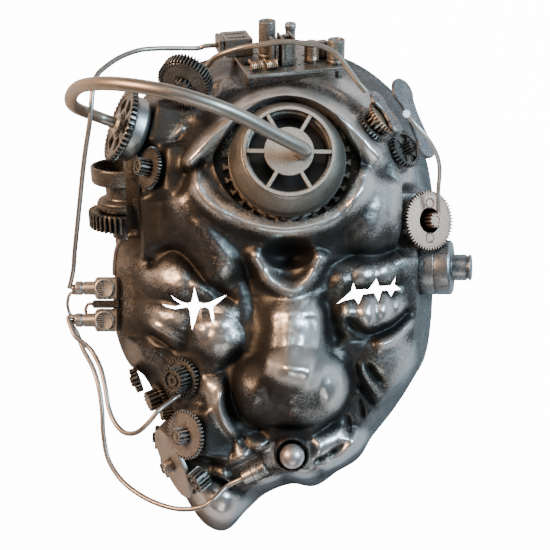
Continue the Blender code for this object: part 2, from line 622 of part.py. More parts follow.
def almond(half_width, top, bottom, count):
    """The eyelids' opening: two bowed edges that meet in two corners."""
    upper = [(half_width * math.cos(math.pi * i / count), 0.0) for i in range(count)]
    lower = [(-x, 0.0) for x, _ in upper]
    upper = [(x, top * (1.0 - (x / half_width) ** 2) ** 0.8) for x, _ in upper]
    lower = [(x, -bottom * (1.0 - (x / half_width) ** 2) ** 0.6) for x, _ in lower]
    return upper + lower


LEFT_SLIT = [
    (-36.2, -4.1), (-35.1, -9.3), (-34.4, -12.2), (-32.0, -12.8), (-29.3, -12.4), (-26.6, -10.9), (-21.9, -9.1),
    (-24.8, -11.8), (-27.3, -13.8), (-27.8, -15.1), (-27.1, -18.6), (-27.4, -22.9), (-28.8, -19.1), (-29.7, -15.3),
    (-31.5, -14.4), (-33.7, -14.9), (-34.8, -17.3), (-35.9, -21.3), (-37.5, -25.6), (-38.2, -20.9), (-38.6, -16.4),
    (-39.5, -14.5), (-41.7, -14.9), (-45.7, -15.5), (-49.7, -14.6), (-52.2, -13.0), (-48.8, -13.7), (-44.8, -14.2),
    (-42.4, -13.5), (-45.7, -11.3), (-48.9, -7.5), (-45.3, -10.4), (-41.7, -12.3), (-39.3, -12.8), (-37.8, -12.2),
    (-37.1, -9.3),
]
RIGHT_SLIT = [
    (27.0, -13.5), (33.3, -8.0), (35.0, -3.0), (36.7, -6.3), (42.7, -6.3), (46.0, -0.8), (47.7, -4.7), (52.6, -4.7),
    (56.3, 1.4), (54.8, -4.7), (58.7, -6.9), (54.8, -7.7), (52.6, -10.8), (50.5, -7.5), (48.2, -8.6), (46.6, -13.0),
    (43.8, -9.1), (40.5, -9.1), (38.2, -10.6), (36.7, -13.5), (35.5, -10.8), (31.7, -10.8),
]


SHELL_VERTS, SHELL_FACES = shell_mesh()
SHELL_TREE = BVHTree.FromPolygons([tuple(point) for point in SHELL_VERTS], SHELL_FACES)


def rest(frame, radius, far=40.0):
    """The frame moved along its Z until its floor just clears the shell within the radius."""
    axis = frame.to_3x3() @ Vector((0.0, 0.0, 1.0))
    height = -far
    spots = [(0.0, 0.0)]
    for share in (0.25, 0.5, 0.75, 1.0):
        spots += [(x * share, y * share) for x, y in ring_outline(radius, 24)]
    for x, y in spots:
        start = frame @ Vector((x, y, far))
        hit = SHELL_TREE.ray_cast(start, -axis, 2.0 * far)
        if hit[0] is not None:
            height = max(height, far - hit[3])
    return offset(frame, z=height + GAP)


def build_shell(verts, faces):
    """The face with its socket and its two slits cut out."""
    plain = Matrix.Identity(4)
    shell = add_object("mask_shell", verts, faces, plain, "antique_silver")
    lids = guide("lid_opening_cutter", *prism(almond(LID_HALF_WIDTH, LID_TOP, LID_BOTTOM, 16), -SOCKET_DEPTH, 40.0), EYE)
    floor = guide("socket_cutter", *prism(ring_outline(SOCKET_RADIUS, 36), -SOCKET_DEPTH, -2.0), EYE)
    left = guide("left_slit_cutter", *prism(LEFT_SLIT, 10.0, 90.0), plain)
    right = guide("right_slit_cutter", *prism(RIGHT_SLIT, 10.0, 90.0), plain)
    join(shell, [lids, floor, left, right], "DIFFERENCE")
    return shell


build_shell(SHELL_VERTS, SHELL_FACES)


def box(low, high):
    """A plain block between two corners."""
    outline = [(low[0], low[1]), (high[0], low[1]), (high[0], high[1]), (low[0], high[1])]
    return prism(outline, low[2], high[2])


def disc(name, frame, radius, low, high, finish, sides=16, top=None):
    """A round post from low to high, drawn in to the top radius."""
    top = radius if top is None else top
    profile = [(0.0, low), (radius, low), (top, high), (0.0, high)]
    return add_object(name, *turned(profile, sides), frame, finish)


def wheel(name, frame, radius, teeth, thickness, finish, lift=1.5, pinion=0.0, pinion_teeth=12, pinion_length=4.0):
    """A toothed wheel on a collar, with a pinion on its face where it has one."""
    body = add_object(
        name, *prism(toothed_outline(radius, radius * 0.9 - 0.2, teeth), lift, lift + thickness), frame, finish, False
    )
    extras = []
    if lift:
        collar = turned([(0.0, 0.0), (radius * 0.35, 0.0), (radius * 0.35, lift + 0.3), (0.0, lift + 0.3)], 8)
        extras.append(guide(f"{name}_collar_guide", *collar, frame))
    if pinion:
        top = lift + thickness
        outline = toothed_outline(pinion, pinion * 0.78, pinion_teeth)
        extras.append(guide(f"{name}_pinion_guide", *prism(outline, top - 0.3, top + pinion_length), frame))
    join(body, extras)
    return body


def build_eye():
    """The crown ring, the lens cup, the grille with its hub, and the pipe to the drum."""
    crown_low = GAP - SOCKET_DEPTH
    outline = toothed_outline(CROWN_RADIUS, CROWN_RADIUS - 3.6, CROWN_PRONGS)
    add_object("eye_crown_ring", *prism(outline, crown_low, crown_low + 1.0), EYE, "dark_steel", False)
    foot = crown_low + 1.0 + GAP
    ledge = LENS_HEIGHT - 2.2
    profile = [
        (LENS_BORE_RADIUS - 1.0, foot), (LENS_BASE_RADIUS - 0.8, foot), (LENS_BASE_RADIUS - 0.8, -1.3),
        (LENS_BASE_RADIUS + 0.7, -1.3), (LENS_BASE_RADIUS + 0.7, 0.0), (LENS_FRONT_RADIUS + 0.3, LENS_HEIGHT - 0.8),
        (LENS_FRONT_RADIUS, LENS_HEIGHT), (LENS_BORE_RADIUS, LENS_HEIGHT), (LENS_BORE_RADIUS, ledge),
        (LENS_BORE_RADIUS - 1.0, ledge),
    ]
    add_object("eye_bezel", *turned(profile, 22), EYE, "bronze_grey")
    reach = LENS_BORE_RADIUS - GAP
    half = SPOKE_WIDTH / 2.0
    outline = []
    for spoke in range(SPOKES):
        middle = 2.0 * math.pi * spoke / SPOKES
        c, s = math.cos(middle), math.sin(middle)
        inner = math.sqrt(HUB_RADIUS**2 - half**2)
        outer = math.sqrt(reach**2 - half**2)
        corners = [(inner, -half), (outer, -half), (outer, half), (inner, half)]
        outline += [(x * c - y * s, x * s + y * c) for x, y in corners]
        for step in (1, 2, 3):
            angle = middle + math.pi / SPOKES * step / 2.0
            outline.append((HUB_RADIUS * math.cos(angle), HUB_RADIUS * math.sin(angle)))
    grille_low = ledge + GAP
    add_object("eye_grille", *prism(outline, grille_low, LENS_HEIGHT - 0.1), EYE, "bright_silver", False)
    start = EYE @ Vector((5.5, -1.0, LENS_HEIGHT + 2.0 * GAP))
    rise = EYE @ Vector((5.2, -0.9, LENS_HEIGHT + 6.0))
    drum = rest(seat(DRUM_MIDDLE, DRUM_NORMAL, (0.0, 1.0, 0.0)), DRUM_FOOT_RADIUS)
    hub_top = DRUM_LENGTH + DRUM_GEAR_THICKNESS + DRUM_HUB_LENGTH + 2.0 * GAP
    far = drum @ Vector((0.0, 0.0, hub_top + 8.0))
    end = drum @ Vector((0.0, 0.0, hub_top + 2.0 * GAP))
    route = [tuple(start), tuple(rise), (-1.0, 57.5, 93.0), (-13.8, 62.6, 104.0), (-25.0, 66.0, 111.0)]
    route += [(-40.0, 70.0, 114.0), (-56.0, 73.5, 110.0), (-69.5, 76.0, 101.0), (-80.0, 77.0, 89.0)]
    route += [(-86.5, 75.5, 75.0), (-87.5, 73.5, 62.0), tuple(far), tuple(end)]
    lead("eye_pipe", route, PIPE_RADIUS + 0.15, 8.5, "bronze_grey", PIPE_RADIUS - 0.3)


def build_left_temple():
    """The drum with its crown gear, the half-sunk spool, and the small wheel beside them."""
    drum = rest(seat(DRUM_MIDDLE, DRUM_NORMAL, (0.0, 1.0, 0.0)), DRUM_FOOT_RADIUS)
    profile = [(0.0, 0.0), (DRUM_FOOT_RADIUS, 0.0), (DRUM_RADIUS, 2.4), (DRUM_RADIUS, DRUM_LENGTH), (0.0, DRUM_LENGTH)]
    add_object("drum_cup", *turned(profile, 24), drum, "bright_silver")
    low = DRUM_LENGTH + GAP
    top = low + DRUM_GEAR_THICKNESS
    teeth = toothed_outline(DRUM_GEAR_RADIUS, DRUM_GEAR_RADIUS - 1.7, 36)
    add_object("drum_gear", *prism(teeth, low, top), drum, "antique_silver", False)
    disc("drum_hub", drum, 5.0, top + GAP, top + GAP + DRUM_HUB_LENGTH, "bright_silver", 14, 4.2)
    bed = rest(seat(SPOOL_MIDDLE, SPOOL_NORMAL, SPOOL_AXIS), SPOOL_RADIUS)
    spool = seat(bed.translation, SPOOL_AXIS, SPOOL_NORMAL)
    body = [(0.0, 4.0), (12.9, 4.0), (12.9, 9.0), (9.0, 9.6), (9.0, 15.5), (15.2, 17.5)]
    body += [(15.4, 25.0), (14.0, 25.0), (13.4, 19.0), (0.0, 19.0)]
    half_turn = {"sweep": math.pi, "start": -math.pi / 2.0}
    add_object("spool_body", *turned(body, 16, **half_turn), spool, "bronze_grey")
    teeth = 36
    outline = [point for point in toothed_outline(17.6, 16.0, teeth) if point[0] > 0.05]
    outline = sorted(outline, key=lambda point: math.atan2(point[1], point[0]))
    outline = [(0.05, -15.9)] + outline + [(0.05, 15.9)]
    add_object("spool_gear", *prism(outline, -3.7, 3.7), spool, "antique_silver", False)
    foot = [(0.0, -10.0), (7.0, -10.0), (7.0, -4.0), (0.0, -4.0)]
    add_object("spool_foot", *turned(foot, 10, **half_turn), spool, "bronze_grey")
    temple = rest(seat(*PADS["temple_gear"][:3]), TEMPLE_RADIUS)
    wheel("temple_gear", temple, TEMPLE_RADIUS, 24, 1.4, "antique_silver", 0.8, 4.0, 8, 5.6)


def build_crest_wheel():
    """The thick wheel at the top left, carried by a block behind it."""
    post = seat(CREST_MIDDLE, CREST_UP, CREST_RIGHT)
    post = rest(post, 5.0)
    add_object("crest_gear_post", *box((-3.5, -3.0, 0.0), (3.5, 3.0, 13.0)), post, "dark_steel", False)
    face = post.to_3x3() @ Vector((0.0, -1.0, 0.0))
    radius, thickness = 12.2, 6.5
    middle = offset(post, y=-3.0 - GAP, z=radius + 1.0).translation
    frame = seat(middle, face, (1.0, 0.0, 0.0))
    wheel("crest_gear", frame, radius, 30, thickness, "antique_silver", 0.0, 4.0, 8, 3.0)


BOARD = seat(BOARD_MIDDLE, BOARD_NORMAL, BOARD_RIGHT)
PLATE_LOW = 2.8
PLATE_TOP = 4.4
PLATE_HALF_X = 24.0
PLATE_FRONT = -24.5
PLATE_BACK = 17.0


def build_board():
    """The plate on its four feet, and what stands on it."""
    board = rest(BOARD, 24.0)
    plate = box((-PLATE_HALF_X, PLATE_FRONT, PLATE_LOW), (PLATE_HALF_X, PLATE_BACK, PLATE_TOP))
    body = add_object("circuit_board", *plate, board, "dark_steel", False)
    feet = []
    for number, (x, y) in enumerate([(-21.5, -17.0), (21.5, -17.0), (21.5, 14.5), (-21.5, 14.5)]):
        foot = turned([(0.0, 0.0), (1.6, 0.0), (1.6, PLATE_LOW + 0.4), (0.0, PLATE_LOW + 0.4)], 8)
        feet.append(guide(f"board_foot_guide_{number}", *foot, offset(board, x=x, y=y)))
    join(body, feet)
    low = PLATE_TOP + GAP
    top = offset(board, z=low)
    socket = add_object("connector_box", *box((-28.5, 1.5, 0.0), (-15.2, 16.0, 8.0)), top, "bronze_grey", False)
    flange = guide("connector_flange_guide", *box((-31.0, 3.0, 1.0), (-28.0, 14.5, 7.0)), top)
    join(socket, [flange])
    add_object("flat_chip", *box((-22.5, -10.5, 0.0), (-15.5, -4.5, 1.6)), top, "dark_steel", False)
    disc("capacitor_left", offset(top, x=-9.0, y=-1.0), 4.3, 0.0, 17.0, "bronze_grey", 12, 3.9)
    add_object("small_block", *box((-10.4, -14.0, 0.0), (-6.4, -9.0, 12.0)), top, "bronze_grey", False)
    add_object("tall_block", *box((-6.0, -17.0, 0.0), (0.5, -6.0, 13.0)), top, "bronze_grey", False)
    disc("round_cap", offset(top, x=2.8, y=1.0), 2.8, 0.0, 14.5, "bright_silver", 12)
    disc("coil", offset(top, x=9.3, y=-12.5), 3.6, 0.0, 9.6, "dark_steel", 12, 3.4)
    add_object("tilted_chip", *box((13.8, -11.0, 0.0), (18.3, -6.5, 8.0)), top, "bronze_grey", False)
    disc("capacitor_right", offset(top, x=19.8, y=-17.0), 4.2, 0.0, 10.8, "bronze_grey", 12, 4.0)
    for name, x in (("brass_curl_left", -18.5), ("brass_curl_right", -11.5)):
        roll = seat(top @ Vector((x - 3.0, -19.5, 2.2)), top.to_3x3() @ Vector((1.0, 0.12, 0.0)), BOARD_NORMAL)
        disc(name, roll, 2.1, 0.0, 6.0, "copper_wash", 8)
    entry = board @ Vector((-31.6, 8.5, low + 4.0))
    beyond = board @ Vector((-37.0, 8.5, low + 4.0))
    return tuple(entry), tuple(beyond)


def build_upper_right():
    """Wheels and two dog-bone covers on the upper right of the forehead."""
    front = rest(seat(*PADS["link_front"][:3]), 9.3)
    wheel("link_gear_front", front, 9.3, 22, 1.5, "dark_steel", 0.8, 6.0, 10, 4.2)
    add_object("link_gear_middle", *prism(toothed_outline(8.7, 7.8, 22), 6.8, 8.4), front, "copper_wash", False)
    cover = link_outline(14.0, 4.7, 3.9, 2.3)
    add_object("link_cover_front", *prism(cover, 8.7, 10.7), offset(front, x=-7.5), "antique_silver", False)
    back = rest(seat(*PADS["link_back"][:3]), 9.0)
    wheel("link_gear_back", back, 9.0, 22, 2.2, "dark_steel", 0.8)
    cover = link_outline(27.0, 6.8, 5.6, 4.0)
    place = offset(back, x=-24.0, y=4.0)
    add_object("link_cover_back", *prism(cover, 9.0, 11.4), place, "antique_silver", False)


def link_outline(length, first, second, waist):
    """Two round lobes joined by a narrower waist; the first lobe is at zero."""
    points = []
    for step in range(9):
        angle = math.radians(50 + 260 * step / 8)
        points.append((first * math.cos(angle), first * math.sin(angle)))
    points.append((length * 0.5, -waist))
    for step in range(9):
        angle = math.radians(-130 + 260 * step / 8)
        points.append((length + second * math.cos(angle), second * math.sin(angle)))
    points.append((length * 0.5, waist))
    return points


def build_right_side():
    """The copper wheel and the stepped knob."""
    copper = rest(seat(*PADS["copper"][:3]), COPPER_RADIUS)
    wheel("copper_gear", copper, COPPER_RADIUS, 32, 2.0, "copper_wash", 1.0, 3.6, 8, 4.5)
    bolt = rest(seat(*PADS["bolt"][:3]), KNOB_RADIUS)
    step, tip, end = KNOB_LENGTH, KNOB_TIP_RADIUS, KNOB_LENGTH + KNOB_TIP_LENGTH
    profile = [(0.0, 0.0), (KNOB_RADIUS, 0.0), (KNOB_RADIUS, step - 1.2), (KNOB_RADIUS - 1.0, step), (tip, step)]
    profile += [(tip, end - 2.4), (tip - 0.7, end - 2.0), (tip - 0.7, end - 1.4), (tip, end - 1.0), (tip, end), (0.0, end)]
    add_object("side_bolt", *turned(profile, 14), bolt, "antique_silver")


PLUGS = seat(*PADS["plugs"][:3])
PLUG_SPACING = 15.4
BARREL_RADIUS = 3.4


def build_plugs():
    """Two plugs one over the other on the left side, with a bracket between them."""
    plugs = rest(PLUGS, 13.0)
    for name, x in (("plug_upper", PLUG_SPACING / 2.0), ("plug_lower", -PLUG_SPACING / 2.0)):
        frame = offset(plugs, x=x)
        body = add_object(name, *box((-5.4, -4.5, 0.0), (5.4, 4.5, 9.7)), frame, "bronze_grey", False)
        barrel = [(0.0, 9.4), (BARREL_RADIUS, 9.4), (BARREL_RADIUS, 19.4), (0.0, 19.4)]
        extras = [guide(f"{name}_barrel_guide", *turned(barrel, 14), frame)]
        if name == "plug_upper":
            nose = [(0.0, 19.1), (1.6, 19.1), (1.6, 20.6), (1.0, 21.2), (0.0, 21.2)]
            extras.append(guide("plug_upper_nose_guide", *turned(nose, 10), frame))
        join(body, extras)
    add_object("plug_bracket", *box((-1.9, -3.0, 0.0), (1.9, 3.0, 10.8)), plugs, "dark_steel", False)
    return plugs


def build_mouth():
    """The ball in its cup under the nose, and the jack that the long lead enters."""
    cup = rest(seat(*PADS["mouth_cup"][:3]), 8.0)
    profile = [(0.0, 0.0), (7.3, 0.0), (8.0, 1.2), (8.0, 6.0), (7.1, 6.0), (7.1, 1.4), (0.0, 1.4)]
    add_object("mouth_cup", *turned(profile, 16), cup, "antique_silver")
    radius = 5.5
    middle = 1.4 + GAP + radius
    steps = 8
    profile = [
        (radius * math.sin(math.pi * i / steps), middle - radius * math.cos(math.pi * i / steps))
        for i in range(steps + 1)
    ]
    add_object("mouth_ball", *turned(profile, 12), cup, "bright_silver")
    bed = rest(seat(*PADS["mouth_jack"][:3]), 6.0)
    along_bed = bed.to_3x3() @ Vector((1.0, 0.0, 0.0))
    jack = seat(offset(bed, x=-6.5, z=3.9).translation, along_bed, PADS["mouth_jack"][1])
    profile = [(0.0, 0.0), (2.4, 0.0), (3.1, 0.7), (3.1, 5.4), (3.5, 5.6), (3.5, 12.0), (2.6, 12.6), (0.0, 12.6)]
    add_object("mouth_jack", *turned(profile, 12), jack, "bright_silver")
    return tuple(offset(jack, z=-2.0 * GAP).translation), tuple(offset(jack, z=-8.0).translation)


def build_cheek():
    """The wheels on the dark patch of the lower left cheek and along its edge."""
    upper = rest(seat(*PADS["cheek_upper"][:3]), UPPER_WHEEL_RADIUS)
    wheel(
        "cheek_gear_upper", upper, UPPER_WHEEL_RADIUS, 22, 1.8, "antique_silver", 0.6,
        UPPER_PINION_RADIUS, 12, UPPER_PINION_LENGTH,
    )
    bed = rest(seat(*PADS["cheek_disc"][:3]), DISC_RADIUS)
    disc("cheek_disc", bed, DISC_RADIUS, 0.0, DISC_THICKNESS, "dark_steel", 28)
    disc("cheek_hub", offset(bed, z=DISC_THICKNESS + GAP), 3.2, 0.0, 3.8, "bronze_grey", 12, 2.9)
    lower = rest(seat(*PADS["cheek_lower"][:3]), LOWER_WHEEL_RADIUS)
    wheel("cheek_gear_lower", lower, LOWER_WHEEL_RADIUS, 26, 1.8, "antique_silver", 3.4, 3.8, 8, 5.6)
    star = rest(seat(STAR_MIDDLE, STAR_NORMAL, (0.0, 1.0, 0.0)), STAR_RADIUS)
    outline = toothed_outline(STAR_RADIUS, STAR_RADIUS - 1.8, 12)
    add_object("cheek_pinion", *prism(outline, 0.0, STAR_LENGTH), star, "antique_silver", False)
    roller = rest(seat(*ROLLER_SEAT, (0.0, 1.0, 0.0)), 3.0)
    add_object("cheek_roller", *prism(toothed_outline(2.8, 2.1, 8), 0.0, 6.0), roller, "dark_steel", False)
    for number, (middle, normal, radius, thickness, pinion, length) in enumerate(EDGE_WHEELS, start=1):
        frame = rest(seat(middle, normal, (0.0, 1.0, 0.0)), radius)
        wheel(f"edge_gear_{number}", frame, radius, 14, thickness, "dark_steel", 0.0, pinion, 8, length)
    return upper


def build_leads(box_entry, box_beyond, jack_entry, jack_beyond, plugs, cheek):
    """The stiff leads, each from one fitting of the mask to another."""
    arch = [(-31.5, 98.0, 33.0), (-27.0, 100.0, 42.0), (-16.7, 102.3, 48.0), (-6.7, 103.5, 50.5), (3.0, 104.5, 51.5)]
    arch += [(12.8, 104.0, 51.5), (20.0, 103.0, 51.0), (27.4, 99.5, 50.5), (32.4, 93.5, 50.0), (37.0, 87.0, 50.0)]
    arch += [(41.0, 82.5, 49.5)]
    lead("arch_tube", arch, 1.4, 7.0, "bronze_grey")
    crown = [box_entry, box_beyond, (-36.5, 107.5, 27.0), (-45.0, 106.5, 31.0), (-54.0, 105.5, 35.0)]
    crown += [(-62.5, 103.5, 40.0), (-70.0, 98.5, 48.0), (-75.5, 92.5, 55.0), (-78.4, 87.5, 60.0)]
    crown += [(-79.6, 80.5, 63.0), (-80.9, 68.0, 62.0), (-84.9, 51.0, 55.0), (-89.4, 30.0, 44.0)]
    nose = tuple(offset(plugs, x=PLUG_SPACING / 2.0, z=21.2 + 1.0 + LEAD_RADIUS).translation)
    crown += [(-94.0, 12.0, 31.0), (-96.4, 2.0, 23.5), nose]
    lead("crown_lead", crown, LEAD_RADIUS, 8.5, "bronze_grey")
    side = [(57.5, 70.5, 60.5), (61.5, 66.0, 60.5), (66.3, 61.5, 58.5), (70.6, 56.3, 55.0), (73.4, 51.0, 51.5)]
    side += [(74.4, 45.5, 48.0), (74.4, 40.0, 45.0), (74.6, 34.0, 43.5), (75.0, 29.0, 41.5)]
    lead("side_lead", side, LEAD_RADIUS, 6.0, "bright_silver")
    low = PLUG_SPACING / 2.0
    first = [tuple(plugs @ Vector((-low + 1.3, -1.6, z))) for z in (20.1, 22.6)]
    cheek_route = first + [(-97.0, -25.5, 24.5), (-94.5, -29.5, 26.0), (-87.5, -35.2, 27.0), (-82.0, -43.0, 32.0)]
    cheek_route += [(-79.0, -51.6, 36.0), (-76.8, -61.0, 39.0), (-73.5, -67.5, 42.0), (-68.6, -71.4, 46.0)]
    cheek_route += [(-62.7, -71.0, 50.0), (-57.0, -66.5, 53.5), (-52.2, -60.8, 53.5)]
    rim = UPPER_PINION_RADIUS + LEAD_RADIUS + GAP
    cheek_route += [tuple(cheek @ Vector((-rim - 1.6, 1.4, 7.4))), tuple(cheek @ Vector((-rim, 0.0, 4.2)))]
    lead("cheek_lead", cheek_route, LEAD_RADIUS, 8.5, "bronze_grey")
    second = [tuple(plugs @ Vector((-low - 1.3, 1.6, z))) for z in (20.1, 22.6)]
    mouth_route = second + [(-95.8, -28.0, 17.8), (-92.5, -35.5, 20.0), (-87.5, -44.0, 22.0), (-84.0, -53.0, 25.0)]
    mouth_route += [(-82.0, -64.0, 27.0), (-81.2, -75.0, 28.0), (-78.8, -86.6, 29.0), (-72.5, -95.5, 32.0)]
    mouth_route += [(-64.0, -101.0, 37.0), (-54.5, -104.5, 42.0), (-44.0, -106.0, 47.0), (-34.1, -104.5, 51.0)]
    mouth_route += [(-28.0, -101.0, 52.5), jack_beyond, jack_entry]
    lead("mouth_lead", mouth_route, LEAD_RADIUS, 8.5, "bronze_grey")
    foot = (-73.0, 18.0, 25.0)
    lead("spool_lead", [foot, (-75.8, 12.0, 23.5), (-77.0, 5.0, 22.0), (-77.2, 0.0, 20.6)], 1.0, 6.0, "bronze_grey")
    jumper = [(5.1, 0.0, 20.1), (5.1, 0.0, 22.2), (0.0, 0.6, 23.6), (-5.4, 1.7, 22.2), (-5.4, 1.7, 20.1)]
    lead("jumper_outer", [tuple(plugs @ Vector(point)) for point in jumper], 0.8, 3.0, "bronze_grey")
    jumper = [(0.0, 0.0, 11.6), (0.0, 0.0, 13.4), (-2.6, 4.6, 15.6), (-4.4, 5.2, 15.6), (-5.7, 3.6, 15.6)]
    lead("jumper_inner", [tuple(plugs @ Vector(point)) for point in jumper], 0.8, 2.5, "bronze_grey")


build_eye()
build_left_temple()
build_crest_wheel()
box_entry, box_beyond = build_board()
build_upper_right()
build_right_side()
plug_frame = build_plugs()
jack_entry, jack_beyond = build_mouth()
cheek_frame = build_cheek()
build_leads(box_entry, box_beyond, jack_entry, jack_beyond, plug_frame, cheek_frame)
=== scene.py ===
import math

import bmesh
import bpy
import numpy as np
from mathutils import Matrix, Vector
from mathutils.bvhtree import BVHTree


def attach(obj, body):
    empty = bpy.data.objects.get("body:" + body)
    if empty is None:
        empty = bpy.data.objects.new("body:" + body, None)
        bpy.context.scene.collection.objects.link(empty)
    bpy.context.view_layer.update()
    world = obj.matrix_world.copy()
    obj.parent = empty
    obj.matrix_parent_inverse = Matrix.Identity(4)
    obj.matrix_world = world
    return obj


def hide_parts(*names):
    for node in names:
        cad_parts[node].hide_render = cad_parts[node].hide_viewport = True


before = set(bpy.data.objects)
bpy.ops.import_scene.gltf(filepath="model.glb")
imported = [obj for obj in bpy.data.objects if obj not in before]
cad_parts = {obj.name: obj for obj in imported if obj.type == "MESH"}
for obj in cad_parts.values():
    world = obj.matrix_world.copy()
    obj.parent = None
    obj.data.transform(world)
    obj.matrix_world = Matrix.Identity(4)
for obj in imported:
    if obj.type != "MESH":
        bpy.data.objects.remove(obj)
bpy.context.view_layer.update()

# The camera, the floor and the lights
# The mask lies face up on a pale table top, and the camera stands straight above the
# root of the nose. A warm soft light comes from the left and a cool one from the right,
# with one weak fill from above and one from the side of the chin.

MM = 0.001
FACE_SHIFT = np.array((1.6, 3.7, 0.0))


def to_part(points):
    """Millimetres in the face's own frame, moved by FACE_SHIFT and given in metres."""
    return (np.asarray(points, float) + FACE_SHIFT) * MM


CAMERA_HEIGHT = 480.0
LENS = 62.55

camera_data = bpy.data.cameras.new("photo_camera")
camera_data.lens = LENS
camera_data.sensor_width = 36.0
camera_data.clip_start = 0.01
camera = bpy.data.objects.new("photo_camera", camera_data)
camera.location = to_part((0.0, 0.0, CAMERA_HEIGHT))
bpy.context.collection.objects.link(camera)
bpy.context.scene.camera = camera

TABLE_SIZE = 3.0
TABLE_COLOR = (0.6, 0.6, 0.6, 1.0)
TABLE_GLOW = 14.0
TABLE_REFLECTED_GLOW = 0.05

table_mesh = bpy.data.meshes.new("table_top")
half = TABLE_SIZE / 2.0
table_mesh.from_pydata(
    [(-half, -half, 0), (half, -half, 0), (half, half, 0), (-half, half, 0)], [], [(0, 1, 2, 3)],
)
table_top = bpy.data.objects.new("table_top", table_mesh)
bpy.context.collection.objects.link(table_top)
table_paint = bpy.data.materials.new("table_paint")
table_paint.use_nodes = True
table_shader = table_paint.node_tree.nodes["Principled BSDF"]
table_shader.inputs["Base Color"].default_value = TABLE_COLOR
table_shader.inputs["Roughness"].default_value = 0.8
table_shader.inputs["Emission Color"].default_value = (1.0, 1.0, 1.0, 1.0)
seen_by = table_paint.node_tree.nodes.new("ShaderNodeLightPath")
glow = table_paint.node_tree.nodes.new("ShaderNodeMapRange")
glow.inputs["To Min"].default_value = TABLE_REFLECTED_GLOW
glow.inputs["To Max"].default_value = TABLE_GLOW
table_paint.node_tree.links.new(seen_by.outputs["Is Camera Ray"], glow.inputs["Value"])
table_paint.node_tree.links.new(glow.outputs["Result"], table_shader.inputs["Emission Strength"])
table_mesh.materials.append(table_paint)


def soft_light(name, place, size, power, color):
    """A square area light of the given size in metres, turned towards the middle of the mask."""
    data = bpy.data.lights.new(name, "AREA")
    data.size = size
    data.energy = power
    data.color = color
    light = bpy.data.objects.new(name, data)
    light.location = place
    light.rotation_euler = (Vector((0.0, 0.0, 0.04)) - Vector(place)).to_track_quat("-Z", "Y").to_euler()
    bpy.context.collection.objects.link(light)
    return light


soft_light("warm_left", (-0.56, 0.24, 0.50), 0.24, 8.6, (1.0, 0.60, 0.36))
soft_light("cool_right", (0.56, 0.20, 0.50), 0.24, 8.4, (0.55, 0.79, 1.0))
soft_light("top_fill", (0.0, 0.55, 0.75), 0.40, 0.9, (1.0, 0.97, 0.93))
soft_light("low_fill", (0.05, -0.62, 0.42), 0.40, 1.3, (0.96, 0.98, 1.0))

world = bpy.data.worlds.new("studio")
world.use_nodes = True
world.node_tree.nodes["Background"].inputs["Color"].default_value = (0.85, 0.88, 0.92, 1.0)
world.node_tree.nodes["Background"].inputs["Strength"].default_value = 0.10
bpy.context.scene.world = world


# The face shell
# One hollow shell of moulded resin, 2.4 mm thick, open at the back with a flat rim and cut
# through at the eye socket and the two torn slits. It is sprayed black, then silver, and the
# raised places are rubbed bright while the hollows keep a dark wash; the paint also darkens
# hollows and the places under the glued parts by an occlusion test, which is painted shade.

WALL = 2.4
SHELL_HEIGHT = 54.0
SIDE_HEIGHT = 32.0
SIDE_SHARE = 0.84
FOREHEAD_EXPONENT = 2.8
GRID_ACROSS = 250
GRID_UP = 330
INNER_STEP = 5
EYE_BASE = (5.4, 50.7, 64.0)
EYE_AXIS = (0.05, 0.155, 0.987)
SOCKET_DEPTH = 8.0
SOCKET_RADIUS = 29.2
LID_HALF_WIDTH = 32.5
LID_TOP = 26.8
LID_BOTTOM = 28.6
FACE_MIDDLE = (0.0, -5.0)
RIM_POINTS = [
    (79.5, -5.0), (79.5, 20.0), (79.0, 42.0), (75.0, 62.0), (67.0, 82.0), (53.0, 98.0),
    (36.0, 108.5), (7.0, 115.0), (-18.0, 112.5), (-40.0, 106.0), (-60.0, 95.0), (-74.0, 78.0),
    (-79.5, 55.0), (-80.0, 12.0), (-79.0, -32.0), (-73.0, -45.0), (-66.0, -50.5), (-60.5, -60.0),
    (-55.5, -72.0), (-52.5, -87.0), (-49.0, -102.0), (-43.0, -115.0), (-34.0, -126.0), (-24.0, -128.0),
    (-14.0, -118.0),
    (-5.0, -110.0), (8.0, -105.0), (20.0, -106.0), (31.0, -99.0), (42.0, -92.0), (49.0, -81.0),
    (60.0, -67.0), (69.0, -53.0), (75.0, -42.0), (78.5, -22.0),
]


def unit(vector):
    """The vector at length one."""
    vector = np.asarray(vector, float)
    return vector / np.linalg.norm(vector)


def seat(point, normal, right=(1.0, 0.0, 0.0)):
    """A frame as a 4 x 4 array: Z along the normal, X as near to right as that allows."""
    z_axis = unit(normal)
    x_axis = unit(np.asarray(right, float) - z_axis * (z_axis @ np.asarray(right, float)))
    place = np.eye(4)
    place[:3, :3] = np.stack([x_axis, np.cross(z_axis, x_axis), z_axis], axis=1)
    place[:3, 3] = point
    return place


def offset(place, x=0.0, y=0.0, z=0.0):
    """The same frame moved along its own axes."""
    moved = place.copy()
    moved[:3, 3] = place[:3, :3] @ (x, y, z) + place[:3, 3]
    return moved


def placed(place, points):
    """Points of a frame as points of the face's frame: rotation times point plus place."""
    return np.asarray(points, float) @ place[:3, :3].T + place[:3, 3]


def smooth_path(points, per_span):
    """A Catmull-Rom curve: between two points a cubic that leaves each along its neighbours' chord."""
    p = np.array(points, float)
    p = np.vstack([2 * p[0] - p[1], p, 2 * p[-1] - p[-2]])
    t = np.linspace(0.0, 1.0, per_span, endpoint=False)[None, :, None]
    a, b, c, d = (p[k:len(p) - 3 + k, None, :] for k in range(4))
    curve = 0.5 * (2 * b + (c - a) * t + (2 * a - 5 * b + 4 * c - d) * t**2 + (3 * b - a - 3 * c + d) * t**3)
    return np.vstack([curve.reshape(-1, p.shape[1]), p[-2:-1]])


